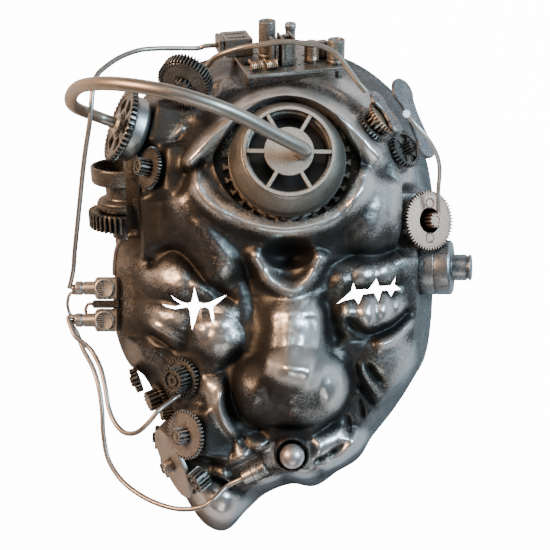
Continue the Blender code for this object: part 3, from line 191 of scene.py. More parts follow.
def rim_radius(angle):
    """The rim's distance from the face's middle: a periodic cubic through RIM_POINTS by angle."""
    points = np.array(RIM_POINTS) - FACE_MIDDLE
    turns = np.arctan2(points[:, 1], points[:, 0])
    radii = np.hypot(points[:, 0], points[:, 1])
    order = np.argsort(turns)
    turns, radii = turns[order], radii[order]
    turns = np.concatenate([turns[-2:] - 2 * np.pi, turns, turns[:2] + 2 * np.pi])
    radii = np.concatenate([radii[-2:], radii, radii[:2]])
    slope = np.zeros_like(radii)
    slope[1:-1] = (radii[2:] - radii[:-2]) / (turns[2:] - turns[:-2])
    a = np.mod(angle + np.pi, 2 * np.pi) - np.pi
    k = np.clip(np.searchsorted(turns, a) - 1, 1, len(turns) - 3)
    h = turns[k + 1] - turns[k]
    t = (a - turns[k]) / h
    return (
        (2 * t**3 - 3 * t**2 + 1) * radii[k]
        + (t**3 - 2 * t**2 + t) * h * slope[k]
        + (3 * t**2 - 2 * t**3) * radii[k + 1]
        + (t**3 - t**2) * h * slope[k + 1]
    )


def smoothstep(value):
    """Zero below 0, one above 1, and 3t squared less 2t cubed between them."""
    t = np.clip(value, 0.0, 1.0)
    return t * t * (3.0 - 2.0 * t)


def bump(x, y, middle, reach_x, reach_y, rise, turn=0.0, power=1.5):
    """A swelling: rise times (1 - u squared - v squared) to a power over a turned ellipse."""
    c, s = math.cos(math.radians(turn)), math.sin(math.radians(turn))
    dx, dy = x - middle[0], y - middle[1]
    u = (dx * c + dy * s) / reach_x
    v = (-dx * s + dy * c) / reach_y
    return rise * np.clip(1.0 - u * u - v * v, 0.0, 1.0) ** power


def along(x, y, points):
    """Each place's distance to a smooth path, and how far along the path it lies, from 0 to 1."""
    path = smooth_path(points, 5)
    best = np.full(x.shape, 1e9)
    where = np.zeros(x.shape)
    total = len(path) - 1
    for i, (a, b) in enumerate(zip(path[:-1], path[1:])):
        d = b - a
        t = np.clip(((x - a[0]) * d[0] + (y - a[1]) * d[1]) / (d @ d), 0.0, 1.0)
        gap = (x - a[0] - t * d[0]) ** 2 + (y - a[1] - t * d[1]) ** 2
        closer = gap < best
        best = np.where(closer, gap, best)
        where = np.where(closer, (i + t) / total, where)
    return np.sqrt(best), where


def ridge(x, y, points, width, rise, taper, power):
    """A ridge or crease: rise times exp of minus (distance to a path / width) to a power.

    It fades at both ends. Power 2 is round, a higher one flat-topped and a lower one sharp.
    """
    away, where = along(x, y, points)
    ends = smoothstep(where / taper) * smoothstep((1.0 - where) / taper)
    return rise * ends * np.exp(-((away / width) ** power))


# Swellings of the face as (middle, reach x, reach y, rise, turn, power).
SWELLINGS = {
    "eye_mound": ((4.0, 52.0), 62.0, 50.0, 20.0, 0.0, 1.0),
    "pocket": ((5.9, 9.5), 12.0, 7.4, -11.0, 0.0, 1.2),
    "nose_ball": ((8.0, -52.0), 27.5, 21.5, 16.0, 0.0, 1.0),
    "nose_shoulder": ((8.0, -38.0), 21.0, 20.0, 7.5, 0.0, 1.6),
    "mole": ((6.7, -56.0), 1.6, 1.6, 0.9, 0.0, 1.5),
    "left_wing": ((-12.5, -50.0), 9.5, 15.0, 4.5, 8.0, 1.4),
    "right_wing": ((28.0, -48.5), 9.0, 15.0, 5.0, -8.0, 1.4),
    "left_lid": ((-47.0, -2.5), 17.0, 11.5, 5.0, -10.0, 1.3),
    "left_lid_lobe": ((-31.5, -4.6), 7.5, 7.5, 3.0, 0.0, 1.3),
    "left_bag": ((-49.0, -20.0), 15.0, 8.5, 4.5, -15.0, 1.3),
    "left_bag_middle": ((-33.5, -20.5), 5.0, 9.0, 2.2, 0.0, 1.3),
    "left_bag_inner": ((-23.5, -18.5), 8.0, 8.0, 2.4, 0.0, 1.3),
    "left_lobe": ((-27.0, -29.0), 14.0, 12.0, 7.0, 10.0, 1.2),
    "right_lid": ((44.0, 2.0), 21.0, 9.0, 4.0, 8.0, 1.3),
    "right_lid_lobe_1": ((29.5, -4.0), 6.0, 6.0, 2.0, 0.0, 1.3),
    "right_lid_lobe_2": ((40.5, -1.4), 6.5, 7.0, 2.0, 0.0, 1.3),
    "right_lid_lobe_3": ((51.0, -0.2), 6.5, 7.0, 2.0, 0.0, 1.3),
    "right_bag": ((43.5, -18.0), 20.0, 11.5, 6.5, 10.0, 1.2),
    "right_bag_lobe_1": ((32.0, -16.5), 4.4, 7.5, 2.0, 0.0, 1.3),
    "right_bag_lobe_2": ((41.0, -16.5), 4.6, 9.0, 2.2, 0.0, 1.3),
    "right_bag_lobe_3": ((49.6, -14.5), 4.4, 8.5, 2.0, 0.0, 1.3),
    "right_bag_lobe_4": ((57.4, -12.0), 4.5, 7.0, 1.6, 0.0, 1.3),
    "right_brow": ((45.0, 26.0), 15.0, 20.0, 9.0, -15.0, 1.2),
    "right_temple": ((63.0, 24.0), 14.0, 40.0, 5.0, 4.0, 1.3),
    "left_temple": ((-54.0, 26.0), 16.0, 22.0, 3.0, 20.0, 1.3),
    "right_cheek": ((54.0, -42.0), 17.0, 18.0, 7.0, 0.0, 1.3),
    "left_cheek": ((-29.0, -58.0), 11.0, 22.0, 6.0, 12.0, 1.3),
    "wheel_patch": ((-52.0, -72.0), 16.0, 38.0, -4.0, 18.0, 1.3),
    "lips": ((10.0, -84.0), 40.0, 16.0, 12.0, 6.0, 1.2),
    "lip_lump_left": ((-3.0, -98.0), 12.0, 9.0, 6.0, 0.0, 1.5),
    "lip_lump_middle": ((13.0, -97.0), 10.0, 9.0, 6.0, 0.0, 1.5),
    "lip_lump_right": ((28.0, -90.0), 12.0, 9.0, 5.0, 25.0, 1.5),
    "lip_corner": ((37.0, -80.0), 11.0, 9.0, 4.0, 35.0, 1.5),
    "chin": ((-28.0, -107.0), 20.0, 19.0, 12.0, -35.0, 1.2),
}

# Ridges and creases as (path, width, rise, taper, power).
RIDGES = {
    "upper_lid": (
        [
            (-41, 43), (-36.5, 50), (-30.5, 56.5), (-24.5, 62.4), (-17.6, 68), (-12, 73), (-4, 76.5),
            (6, 77.8), (15.3, 75.6),
            (23, 71.8), (30.6, 66.6), (38.2, 59.6), (45.2, 52.6), (50, 48),
        ],
        5.2, 9.5, 0.07, 2.0,
    ),
    "upper_lid_back": ([(-38, 62), (-28, 73), (-14, 83), (6, 87), (24, 82), (38, 72), (50, 58)], 4.0, -3.0,
        0.2, 2.0),
    "lower_lid": (
        [
            (-35.5, 49), (-32.5, 37.5), (-26, 29.5), (-16.5, 23.6), (-5, 19.8), (6, 18.8), (17, 20.8),
            (27, 25.3),
            (33.5, 32.5), (38.6, 42), (40, 49),
        ],
        4.4, 7.5, 0.08, 2.0,
    ),
    "lid_corner": ([(-42, 44), (-36, 46), (-29, 50)], 1.4, -3.5, 0.25, 1.3),
    "left_gutter": (
        [(-42, 43), (-35.5, 32), (-27, 21), (-18, 12.5), (-13, 4), (-11, -6), (-9.5, -18), (-11, -30)],
        3.6, -2.4, 0.2, 1.8,
    ),
    "right_gutter": ([(16, 14), (25, 15.5), (34, 21), (41, 31), (45, 41)], 4.5, -1.4, 0.3, 2.0),
    "pocket_rim": (
        [(-10.8, 14), (-8.4, 7.6), (-5.6, 2.4), (-0.4, -3.8), (7.2, -6), (13.6, -3.2), (17.8, 2.6), (20, 7.6),
            (21.8, 12)],
        4.0, 6.5, 0.14, 2.2,
    ),
    "nose_bridge": ([(8.7, -4), (8.7, -16), (8.4, -28), (7.2, -40), (6.6, -52)], 11.0, 12.0, 0.3, 2.6),
    "bridge_edge_left": ([(-0.2, -10), (-1.4, -24), (-3.2, -40), (-6, -48)], 2.6, 2.2, 0.3, 2.0),
    "bridge_edge_right": ([(15.4, -8), (19.6, -18), (19.2, -30), (14, -44), (11, -50)], 2.8, 2.6, 0.3, 2.0),
    "bridge_hollow": ([(10.5, -8), (10.5, -24), (9.0, -40), (8.0, -56)], 5.0, -1.5, 0.4, 2.0),
    "left_brow_fold": ([(-47, 43), (-40, 30), (-30.5, 16.5), (-22.5, 6.0), (-15, -4.5)], 9.6, 9.0, 0.22, 2.2),
    "left_socket_crease": (
        [(-59, 1), (-56, 7), (-51, 10.5), (-44.8, 11.2), (-39.5, 7), (-32.2, -2), (-24.5, -8), (-15, -13.5)],
        2.6, -4.5, 0.12, 1.5,
    ),
    "left_bag_edge": ([(-60, -20.5), (-49, -26.6), (-40, -32)], 2.2, 3.0, 0.25, 2.0),
    "left_bag_crease": ([(-62, -25), (-52, -31), (-43, -36.5), (-37.5, -39.5)], 2.0, -3.0, 0.2, 1.5),
    "left_lobe_crease": ([(-36, -43.5), (-29, -45), (-23, -42.5), (-18, -37), (-13.5, -32)], 1.9, -2.2, 0.2,
        1.5),
    "nose_border": (
        [
            (-12, -31), (-16.2, -36.5), (-19.2, -44), (-19.8, -53), (-17.4, -62), (-11, -69.4), (-1, -73),
            (10, -73.6),
            (21, -71.4), (29.4, -65.4), (34.2, -57), (35.6, -48.6), (33.6, -41), (29.6, -34.5),
        ],
        3.0, -3.0, 0.12, 1.7,
    ),
    "left_cheek_fold": ([(-22.4, -47.5), (-24.7, -56.2), (-22, -66.3), (-14.5, -76.5)], 2.4, 3.5, 0.2, 2.0),
    "left_cheek_crease": ([(-33, -50), (-31, -64), (-25.5, -75), (-17.5, -83.5)], 2.0, -4.0, 0.2, 1.3),
    "left_mouth_crease": ([(-16, -69), (-14, -76), (-8, -81), (-3, -81)], 1.8, -3.0, 0.25, 1.3),
    "right_bag_crease": ([(31, -17.5), (35, -22.5), (42, -27), (51, -25), (58.6, -20.2), (64.5, -13.5)], 2.4,
        -4.8, 0.14, 1.5),
    "right_cheek_edge": ([(44, -32), (51, -30), (58, -26), (66, -19.5)], 2.6, 4.5, 0.22, 2.0),
    "right_nose_valley": ([(21, -7), (24, -16), (26.5, -25), (28.5, -34)], 4.2, -4.0, 0.2, 1.9),
    "right_brow_crease": ([(24, 9), (34, 9.5), (45, 9), (56, 12), (66, 18)], 2.6, -3.0, 0.25, 1.6),
    "right_fold_1": ([(37.5, -37), (40.5, -45), (47, -54), (54, -62)], 1.7, 2.4, 0.3, 2.0),
    "right_wrinkle_1": ([(41.4, -39), (45, -45), (51.5, -52)], 1.5, -3.5, 0.3, 1.4),
    "right_wrinkle_2": ([(36.9, -47), (42.5, -56), (49, -65)], 1.6, -3.8, 0.3, 1.4),
    "right_wrinkle_3": ([(38.2, -55), (40.5, -62), (42, -71)], 1.5, -3.5, 0.3, 1.4),
    "right_wrinkle_4": ([(33, -63), (34.5, -70), (34, -76)], 1.5, -2.5, 0.3, 1.4),
    "lip_crease_right": ([(15.5, -85.5), (21, -84), (28, -80.5), (36, -75)], 2.0, -4.0, 0.25, 1.3),
    "lip_crease_left": ([(-22, -88), (-13, -93.5), (-5, -91.5), (3, -91), (11, -91)], 1.9, -3.5, 0.2, 1.3),
    "lip_gap_1": ([(4.5, -92), (5, -98), (4.5, -104)], 1.6, -3.0, 0.3, 1.4),
    "lip_gap_2": ([(20.5, -88), (22, -94), (23, -101)], 1.6, -3.0, 0.3, 1.4),
    "chin_crease": ([(-44, -93), (-34, -93), (-22, -96), (-12, -104)], 2.0, -4.5, 0.2, 1.3),
    "temple_fold": ([(-39, 70), (-44.5, 64), (-50, 57)], 1.9, 3.4, 0.3, 2.0),
}

LATTICE = np.random.default_rng(7).uniform(0.0, 2.0 * np.pi, (256, 256))


def lumps(x, y, size):
    """Gradient noise between -1 and 1: each lattice corner's slope, blended by smoothstep."""
    u, v = x / size, y / size
    i, j = np.floor(u).astype(int), np.floor(v).astype(int)
    fu, fv = u - i, v - j
    su, sv = smoothstep(fu), smoothstep(fv)
    total = np.zeros_like(u)
    for di, wu in ((0, 1.0 - su), (1, su)):
        for dj, wv in ((0, 1.0 - sv), (1, sv)):
            turn = LATTICE[(i + di) % 256, (j + dj) % 256]
            total += wu * wv * (np.cos(turn) * (fu - di) + np.sin(turn) * (fv - dj))
    return 1.6 * total


def skin(x, y):
    """The hammered, leathery unevenness of the moulding: three sizes of lumps."""
    return 0.55 * lumps(x, y, 11.0) + 0.28 * lumps(x + 40.0, y, 4.6) + 0.10 * lumps(x, y + 90.0, 2.0)


def relief(x, y):
    """How far the carving stands over the plain dome: all swellings and ridges added up."""
    z = skin(x, y)
    for middle, reach_x, reach_y, rise, turn, power in SWELLINGS.values():
        z += bump(x, y, middle, reach_x, reach_y, rise, turn, power)
    for points, width, rise, taper, power in RIDGES.values():
        z += ridge(x, y, points, width, rise, taper, power)
    return z


# Flat seats for what is glued on: (middle, normal, right, half size x, half size y).
BOARD_MIDDLE = (4.8, 99.3, 20.8)
BOARD_NORMAL = (0.0, 0.85, 0.52)
BOARD_RIGHT = (0.967, 0.12, -0.22)
DRUM_MIDDLE = (-61.5, 65.7, 39.0)
DRUM_NORMAL = (-0.86, 0.27, 0.43)
SPOOL_AXIS = (0.0, 0.94, 0.34)
SPOOL_NORMAL = (-0.985, -0.0579, 0.1602)
SPOOL_MIDDLE = (-64.0, 28.0, 29.5)
PLUG_NORMAL = (-1.0, 0.0, 0.0)
CREST_MIDDLE = (-39.7, 81.5, 41.5)
CREST_UP = (0.145, 0.65, 0.745)
CREST_RIGHT = (0.9, -0.4, 0.0)
PADS = {
    "board": (BOARD_MIDDLE, BOARD_NORMAL, BOARD_RIGHT, 25.0, 19.0),
    "drum": (DRUM_MIDDLE, DRUM_NORMAL, (0.0, 1.0, 0.0), 14.0, 13.0),
    "spool": ((-63.8, 36.0, 31.0), SPOOL_NORMAL, SPOOL_AXIS, 22.0, 16.5),
    "temple_gear": ((-53.0, 47.2, 51.5), (-0.80, 0.10, 0.59), (0.0, 1.0, 0.0), 9.0, 8.0),
    "crest_post": (CREST_MIDDLE, CREST_UP, CREST_RIGHT, 8.0, 9.0),
    "link_front": ((43.2, 66.0, 49.5), (0.62, 0.52, 0.585), (0.5, -0.85, 0.2), 6.0, 6.0),
    "link_back": ((57.5, 57.0, 37.5), (0.65, 0.275, 0.71), (0.4, -0.9, 0.0), 6.0, 6.0),
    "copper": ((67.0, 25.3, 28.0), (0.5, 0.0, 0.866), (0.0, 1.0, 0.0), 13.0, 12.0),
    "bolt": ((70.5, 3.6, 20.0), (0.957, 0.0, 0.29), (0.0, 1.0, 0.0), 13.0, 13.0),
    "plugs": ((-72.0, -14.0, 20.0), PLUG_NORMAL, (0.0, 1.0, 0.0), 14.5, 8.0),
    "mouth_cup": ((7.1, -79.3, 45.0), (0.05, -0.12, 0.99), (1.0, 0.0, 0.0), 8.5, 8.5),
    "mouth_jack": ((-9.0, -88.0, 42.0), (0.0, -0.15, 0.99), (0.88, 0.47, 0.0), 10.0, 4.0),
    "cheek_upper": ((-41.2, -46.7, 42.4), (-0.58, -0.11, 0.80), (0.0, 1.0, 0.0), 9.0, 9.0),
    "cheek_disc": ((-46.4, -88.4, 27.0), (-0.845, -0.36, 0.40), (0.0, 1.0, 0.0), 14.0, 14.0),
    "cheek_lower": ((-37.3, -71.6, 47.0), (-0.652, -0.035, 0.76), (0.0, 1.0, 0.0), 9.0, 8.0),
}
PAD_MARGIN = 5.0
PAD_REACH = 16.0
EYE = seat(EYE_BASE, EYE_AXIS)


def flatten(points, drop=0.0):
    """Moves the places near each seat onto its plane, lowered by drop, fading over a margin."""
    for middle, normal, right, half_x, half_y in PADS.values():
        axes = seat(middle, normal, right)[:3, :3]
        u, v, w = ((points - np.array(middle)) @ axes).T
        w = w + drop
        share = smoothstep((half_x + PAD_MARGIN - np.abs(u)) / PAD_MARGIN)
        share = share * smoothstep((half_y + PAD_MARGIN - np.abs(v)) / PAD_MARGIN)
        share = share * smoothstep((PAD_REACH + 4.0 - np.abs(w)) / 4.0)
        points = points - (share * w)[:, None] * axes[:, 2]
    return points


def keep_under_socket(points):
    """Presses the inner face down under the floor of the eye's socket."""
    q = (points - np.array(EYE_BASE)) @ EYE[:3, :3]
    reach = smoothstep((np.hypot(q[:, 0] / 1.25, q[:, 1]) - SOCKET_RADIUS - 3.0) / 5.0)
    too_high = np.maximum(q[:, 2] + SOCKET_DEPTH + WALL, 0.0) * (1.0 - reach)
    return points - too_high[:, None] * unit(EYE_AXIS)


def grid_to_disc(a, b):
    """Concentric squares to circles: each place's share of the radius and its angle."""
    wide = np.abs(a) >= np.abs(b)
    safe_a = np.where(np.abs(a) < 1e-9, 1e-9, a)
    safe_b = np.where(np.abs(b) < 1e-9, 1e-9, b)
    radius = np.where(wide, a, b)
    angle = np.where(wide, np.pi / 4 * b / safe_a, np.pi / 2 - np.pi / 4 * a / safe_b)
    angle = np.where((np.abs(a) < 1e-9) & (np.abs(b) < 1e-9), 0.0, angle)
    angle = np.where(radius < 0.0, angle + np.pi, angle)
    return np.abs(radius), angle


WALL_STEPS_SHARE = 0.22


def dome(share, angle, wall):
    """The plain shell: a slanting side up to SIDE_HEIGHT, then a low dome; wall is taken off."""
    on_side = np.clip((share - (1.0 - WALL_STEPS_SHARE)) / WALL_STEPS_SHARE, 0.0, 1.0)
    on_dome = np.clip(share / (1.0 - WALL_STEPS_SHARE), 0.0, 1.0)
    side = share > 1.0 - WALL_STEPS_SHARE
    reach = np.where(side, SIDE_SHARE + (1.0 - SIDE_SHARE) * on_side, SIDE_SHARE * on_dome)
    top = SIDE_HEIGHT + (SHELL_HEIGHT - SIDE_HEIGHT) * (1.0 - on_dome**FOREHEAD_EXPONENT)
    z = np.where(side, SIDE_HEIGHT * (1.0 - on_side), top) * (SHELL_HEIGHT - wall) / SHELL_HEIGHT
    radius = reach * (rim_radius(angle) - wall)
    return FACE_MIDDLE[0] + radius * np.cos(angle), FACE_MIDDLE[1] + radius * np.sin(angle), z, reach


def shell_points(a, b, wall=0.0):
    """The shell's outer face at grid places a, b, or its inner face where wall isn't zero."""
    share, angle = grid_to_disc(a, b)
    x, y, z, reach = dome(share, angle, wall)
    carved = relief(x, y)
    if wall:
        for ring in (2.5, 5.0):
            for turn in np.linspace(0.0, 2.0 * np.pi, 8, endpoint=False):
                carved = np.minimum(carved, relief(x + ring * np.cos(turn), y + ring * np.sin(turn)))
        carved = np.minimum(carved, 26.0)
    carved = np.maximum(carved * smoothstep((1.0 - reach) / 0.14), -0.5 * z)
    points = flatten(np.stack([x, y, z + carved], axis=1), wall)
    if wall:
        points = keep_under_socket(points)
    rim = share > 1.0 - 1e-9
    points[:, 2] = np.where(rim, 0.0, np.maximum(points[:, 2], 0.4 * (1.0 - share)))
    points[rim, 0] = x[rim]
    points[rim, 1] = y[rim]
    return points


def grid_quads(rows, columns, first=0, close_columns=False):
    """Index quads over a grid of points stored row by row; the last column may meet the first."""
    i, j = np.meshgrid(
        np.arange(rows - 1), np.arange(columns if close_columns else columns - 1), indexing="ij",
    )
    n = (j + 1) % columns
    quads = np.stack(
        [i * columns + j, (i + 1) * columns + j, (i + 1) * columns + n, i * columns + n], axis=-1,
    )
    return quads.reshape(-1, 4) + first


def shell_surface():
    """Outer face at full grid, inner face at a coarser one, and the flat rim between them."""
    def face_grid(count_x, count_y, wall):
        a, b = np.meshgrid(np.linspace(-1, 1, count_x + 1), np.linspace(-1, 1, count_y + 1), indexing="ij")
        return shell_points(a.ravel(), b.ravel(), wall)

    def border(count_x, count_y, first):
        index = np.arange((count_x + 1) * (count_y + 1)).reshape(count_x + 1, count_y + 1) + first
        return np.concatenate([index[:-1, 0], index[-1, :-1], index[:0:-1, -1], index[0, :0:-1]])

    outer = face_grid(GRID_ACROSS, GRID_UP, 0.0)
    few_x, few_y = GRID_ACROSS // INNER_STEP, GRID_UP // INNER_STEP
    inner = face_grid(few_x, few_y, WALL)
    quads = grid_quads(GRID_ACROSS + 1, GRID_UP + 1)
    inner_quads = grid_quads(few_x + 1, few_y + 1, len(outer))[:, ::-1]
    outer_edge = border(GRID_ACROSS, GRID_UP, 0)
    inner_edge = border(few_x, few_y, len(outer))
    rim = []
    for k in range(len(inner_edge)):
        span = [outer_edge[(INNER_STEP * k + step) % len(outer_edge)] for step in range(INNER_STEP, -1, -1)]
        rim.append([int(inner_edge[k]), int(inner_edge[(k + 1) % len(inner_edge)])] + [int(v) for v in span])
    return np.vstack([outer, inner]), quads.tolist() + inner_quads.tolist() + rim


def almond(half_width, top, bottom, count):
    """The eyelids' opening: two bowed edges, each a power of (1 - x squared), meeting in two corners."""
    x = half_width * np.cos(np.pi * np.arange(count) / count)
    upper = np.stack([x, top * (1.0 - (x / half_width) ** 2) ** 0.8], axis=1)
    lower = np.stack([-x, -bottom * (1.0 - (x / half_width) ** 2) ** 0.6], axis=1)
    return np.vstack([upper, lower])


def new_mesh(name, points, faces):
    """A mesh of points in the face's frame, its doubles merged and its faces turned outwards."""
    mesh = bpy.data.meshes.new(name)
    mesh.from_pydata(to_part(points).tolist(), [], faces)
    work = bmesh.new()
    work.from_mesh(mesh)
    bmesh.ops.remove_doubles(work, verts=work.verts, dist=0.000002)
    bmesh.ops.dissolve_degenerate(work, edges=work.edges, dist=0.0000005)
    bmesh.ops.recalc_face_normals(work, faces=work.faces)
    work.to_mesh(mesh)
    work.free()
    return mesh


def finish_piece(name, mesh, paint, stands_for, sharp=35.0):
    """Links the piece, gives it its paint, lets it ride on the mask and stand for its CAD nodes."""
    mesh.materials.clear()
    mesh.materials.append(paint)
    mesh.shade_smooth()
    mesh.set_sharp_from_angle(angle=math.radians(sharp))
    piece = bpy.data.objects.new(name, mesh)
    bpy.context.collection.objects.link(piece)
    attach(piece, "root")
    if stands_for:
        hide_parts(*stands_for)
    return piece


def add_prism(outline, low, high):
    """Two copies of a flat outline at two heights, joined by walls and closed by two faces."""
    outline = np.asarray(outline, float)
    count = len(outline)
    points = np.vstack([np.column_stack([outline, np.full(count, z)]) for z in (low, high)])
    walls = grid_quads(2, count, close_columns=True).tolist()
    return points, walls + [list(range(count)), list(range(2 * count - 1, count - 1, -1))]


LEFT_SLIT = [
    (-36.2, -4.1), (-35.1, -9.3), (-34.4, -12.2), (-32.0, -12.8), (-29.3, -12.4), (-26.6, -10.9),
    (-21.9, -9.1),
    (-24.8, -11.8), (-27.3, -13.8), (-27.8, -15.1), (-27.1, -18.6), (-27.4, -22.9), (-28.8, -19.1),
    (-29.7, -15.3),
    (-31.5, -14.4), (-33.7, -14.9), (-34.8, -17.3), (-35.9, -21.3), (-37.5, -25.6), (-38.2, -20.9),
    (-38.6, -16.4),
    (-39.5, -14.5), (-41.7, -14.9), (-45.7, -15.5), (-49.7, -14.6), (-52.2, -13.0), (-48.8, -13.7),
    (-44.8, -14.2),
    (-42.4, -13.5), (-45.7, -11.3), (-48.9, -7.5), (-45.3, -10.4), (-41.7, -12.3), (-39.3, -12.8),
    (-37.8, -12.2),
    (-37.1, -9.3),
]
RIGHT_SLIT = [
    (27.1, -13.5), (34.2, -7.3), (35.1, -2.9), (36.6, -6.6), (42.2, -6.5), (46.1, -0.9), (47.5, -5.1),
    (52.8, -4.8),
    (56.3, 1.3), (55.2, -4.4), (58.6, -6.7), (55.2, -7.1), (53.2, -10.4), (51.5, -7.0), (48.8, -7.3),
    (47.0, -12.9),
    (44.8, -8.1), (39.9, -8.8), (37.7, -13.5), (35.7, -10.6), (31.9, -11.4),
]


def cut_openings(mesh):
    """Cuts the lid opening, the round socket and the two slits out of the shell's mesh."""
    turn = np.linspace(0.0, 2.0 * np.pi, 72, endpoint=False)
    ring = SOCKET_RADIUS * np.stack([np.cos(turn), np.sin(turn)], axis=1)
    cutters = [
        (EYE, add_prism(almond(LID_HALF_WIDTH, LID_TOP, LID_BOTTOM, 48), -SOCKET_DEPTH, 40.0)),
        (EYE, add_prism(ring, -SOCKET_DEPTH, -2.0)),
        (np.eye(4), add_prism(LEFT_SLIT, 10.0, 90.0)),
        (np.eye(4), add_prism(RIGHT_SLIT, 10.0, 90.0)),
    ]
    shell = bpy.data.objects.new("shell_blank", mesh)
    bpy.context.collection.objects.link(shell)
    tools = []
    for number, (place, (points, faces)) in enumerate(cutters):
        tool = bpy.data.objects.new(f"cutter_{number}", new_mesh("cutter", placed(place, points), faces))
        bpy.context.collection.objects.link(tool)
        cut = shell.modifiers.new("cut", "BOOLEAN")
        cut.operation = "DIFFERENCE"
        cut.solver = "MANIFOLD"
        cut.object = tool
        tools.append(tool)
    depsgraph = bpy.context.evaluated_depsgraph_get()
    result = bpy.data.meshes.new_from_object(shell.evaluated_get(depsgraph))
    for thing in [shell, *tools]:
        bpy.data.objects.remove(thing, do_unlink=True)
    return result


def blur(values, steps):
    """A running mean along both axes, three times over, which is close to a bell curve."""
    for axis in (0, 1):
        for _ in range(3):
            padded = np.pad(
                values, [(steps, steps + 1) if k == axis else (0, 0) for k in (0, 1)], mode="edge",
            )
            total = np.cumsum(padded, axis=axis)
            width = 2 * steps + 1
            ahead = np.take(total, range(width, total.shape[axis]), axis=axis)
            behind = np.take(total, range(0, total.shape[axis] - width), axis=axis)
            values = (ahead - behind) / width
    return values


def store_standing(mesh):
    """Stores how far each point stands over its surroundings, in millimetres, for the rubbed paint."""
    step = 1.0
    xs, ys = np.arange(-95.0, 95.1, step), np.arange(-145.0, 130.1, step)
    gx, gy = np.meshgrid(xs, ys, indexing="ij")
    heights = relief(gx.ravel(), gy.ravel()).reshape(gx.shape)
    stand = 0.5 * (heights - blur(heights, 3)) + 0.5 * (heights - blur(heights, 8))
    flat = np.empty(3 * len(mesh.vertices))
    mesh.vertices.foreach_get("co", flat)
    place = flat.reshape(-1, 3) / MM - FACE_SHIFT
    u = np.clip((place[:, 0] - xs[0]) / step, 0.0, len(xs) - 1.001)
    v = np.clip((place[:, 1] - ys[0]) / step, 0.0, len(ys) - 1.001)
    i, j = u.astype(int), v.astype(int)
    fu, fv = u - i, v - j
    mixed = (stand[i, j] * (1 - fu) + stand[i + 1, j] * fu) * (1 - fv)
    mixed += (stand[i, j + 1] * (1 - fu) + stand[i + 1, j + 1] * fu) * fv
    layer = mesh.attributes.new("standing", "FLOAT", "POINT")
    layer.data.foreach_set("value", mixed.astype(np.float32))


def new_group(name, inputs, outputs):
    """An empty shader node group with named sockets, and its input and output nodes."""
    group = bpy.data.node_groups.new(name, "ShaderNodeTree")
    for socket, kind, value in inputs:
        made = group.interface.new_socket(socket, in_out="INPUT", socket_type=kind)
        if value is not None:
            made.default_value = value
    for socket, kind in outputs:
        group.interface.new_socket(socket, in_out="OUTPUT", socket_type=kind)
    return group, group.nodes.new("NodeGroupInput"), group.nodes.new("NodeGroupOutput")


def math_node(tree, operation, first, second=None, clamp=False):
    """A math node fed by sockets or numbers, and its result."""
    node = tree.nodes.new("ShaderNodeMath")
    node.operation = operation
    node.use_clamp = clamp
    for socket, value in zip(node.inputs, (first, second)):
        if isinstance(value, (int, float)):
            socket.default_value = value
        elif value is not None:
            tree.links.new(value, socket)
    return node.outputs[0]


def mix_color(tree, share, first, second):
    """Two colours mixed by a share."""
    node = tree.nodes.new("ShaderNodeMix")
    node.data_type = "RGBA"
    for socket, value in ((node.inputs[0], share), (node.inputs[6], first), (node.inputs[7], second)):
        if isinstance(value, (int, float)):
            socket.default_value = value
        elif isinstance(value, tuple):
            socket.default_value = value
        else:
            tree.links.new(value, socket)
    return node.outputs[2]


def noise_node(tree, coordinates, scale, detail=3.0, roughness=0.55):
    """Fractal noise over the given coordinates; scale is in waves a metre."""
    node = tree.nodes.new("ShaderNodeTexNoise")
    node.inputs["Detail"].default_value = detail
    node.inputs["Roughness"].default_value = roughness
    tree.links.new(coordinates, node.inputs["Vector"])
    if isinstance(scale, (int, float)):
        node.inputs["Scale"].default_value = scale
    else:
        tree.links.new(scale, node.inputs["Scale"])
    return node.outputs["Fac"]


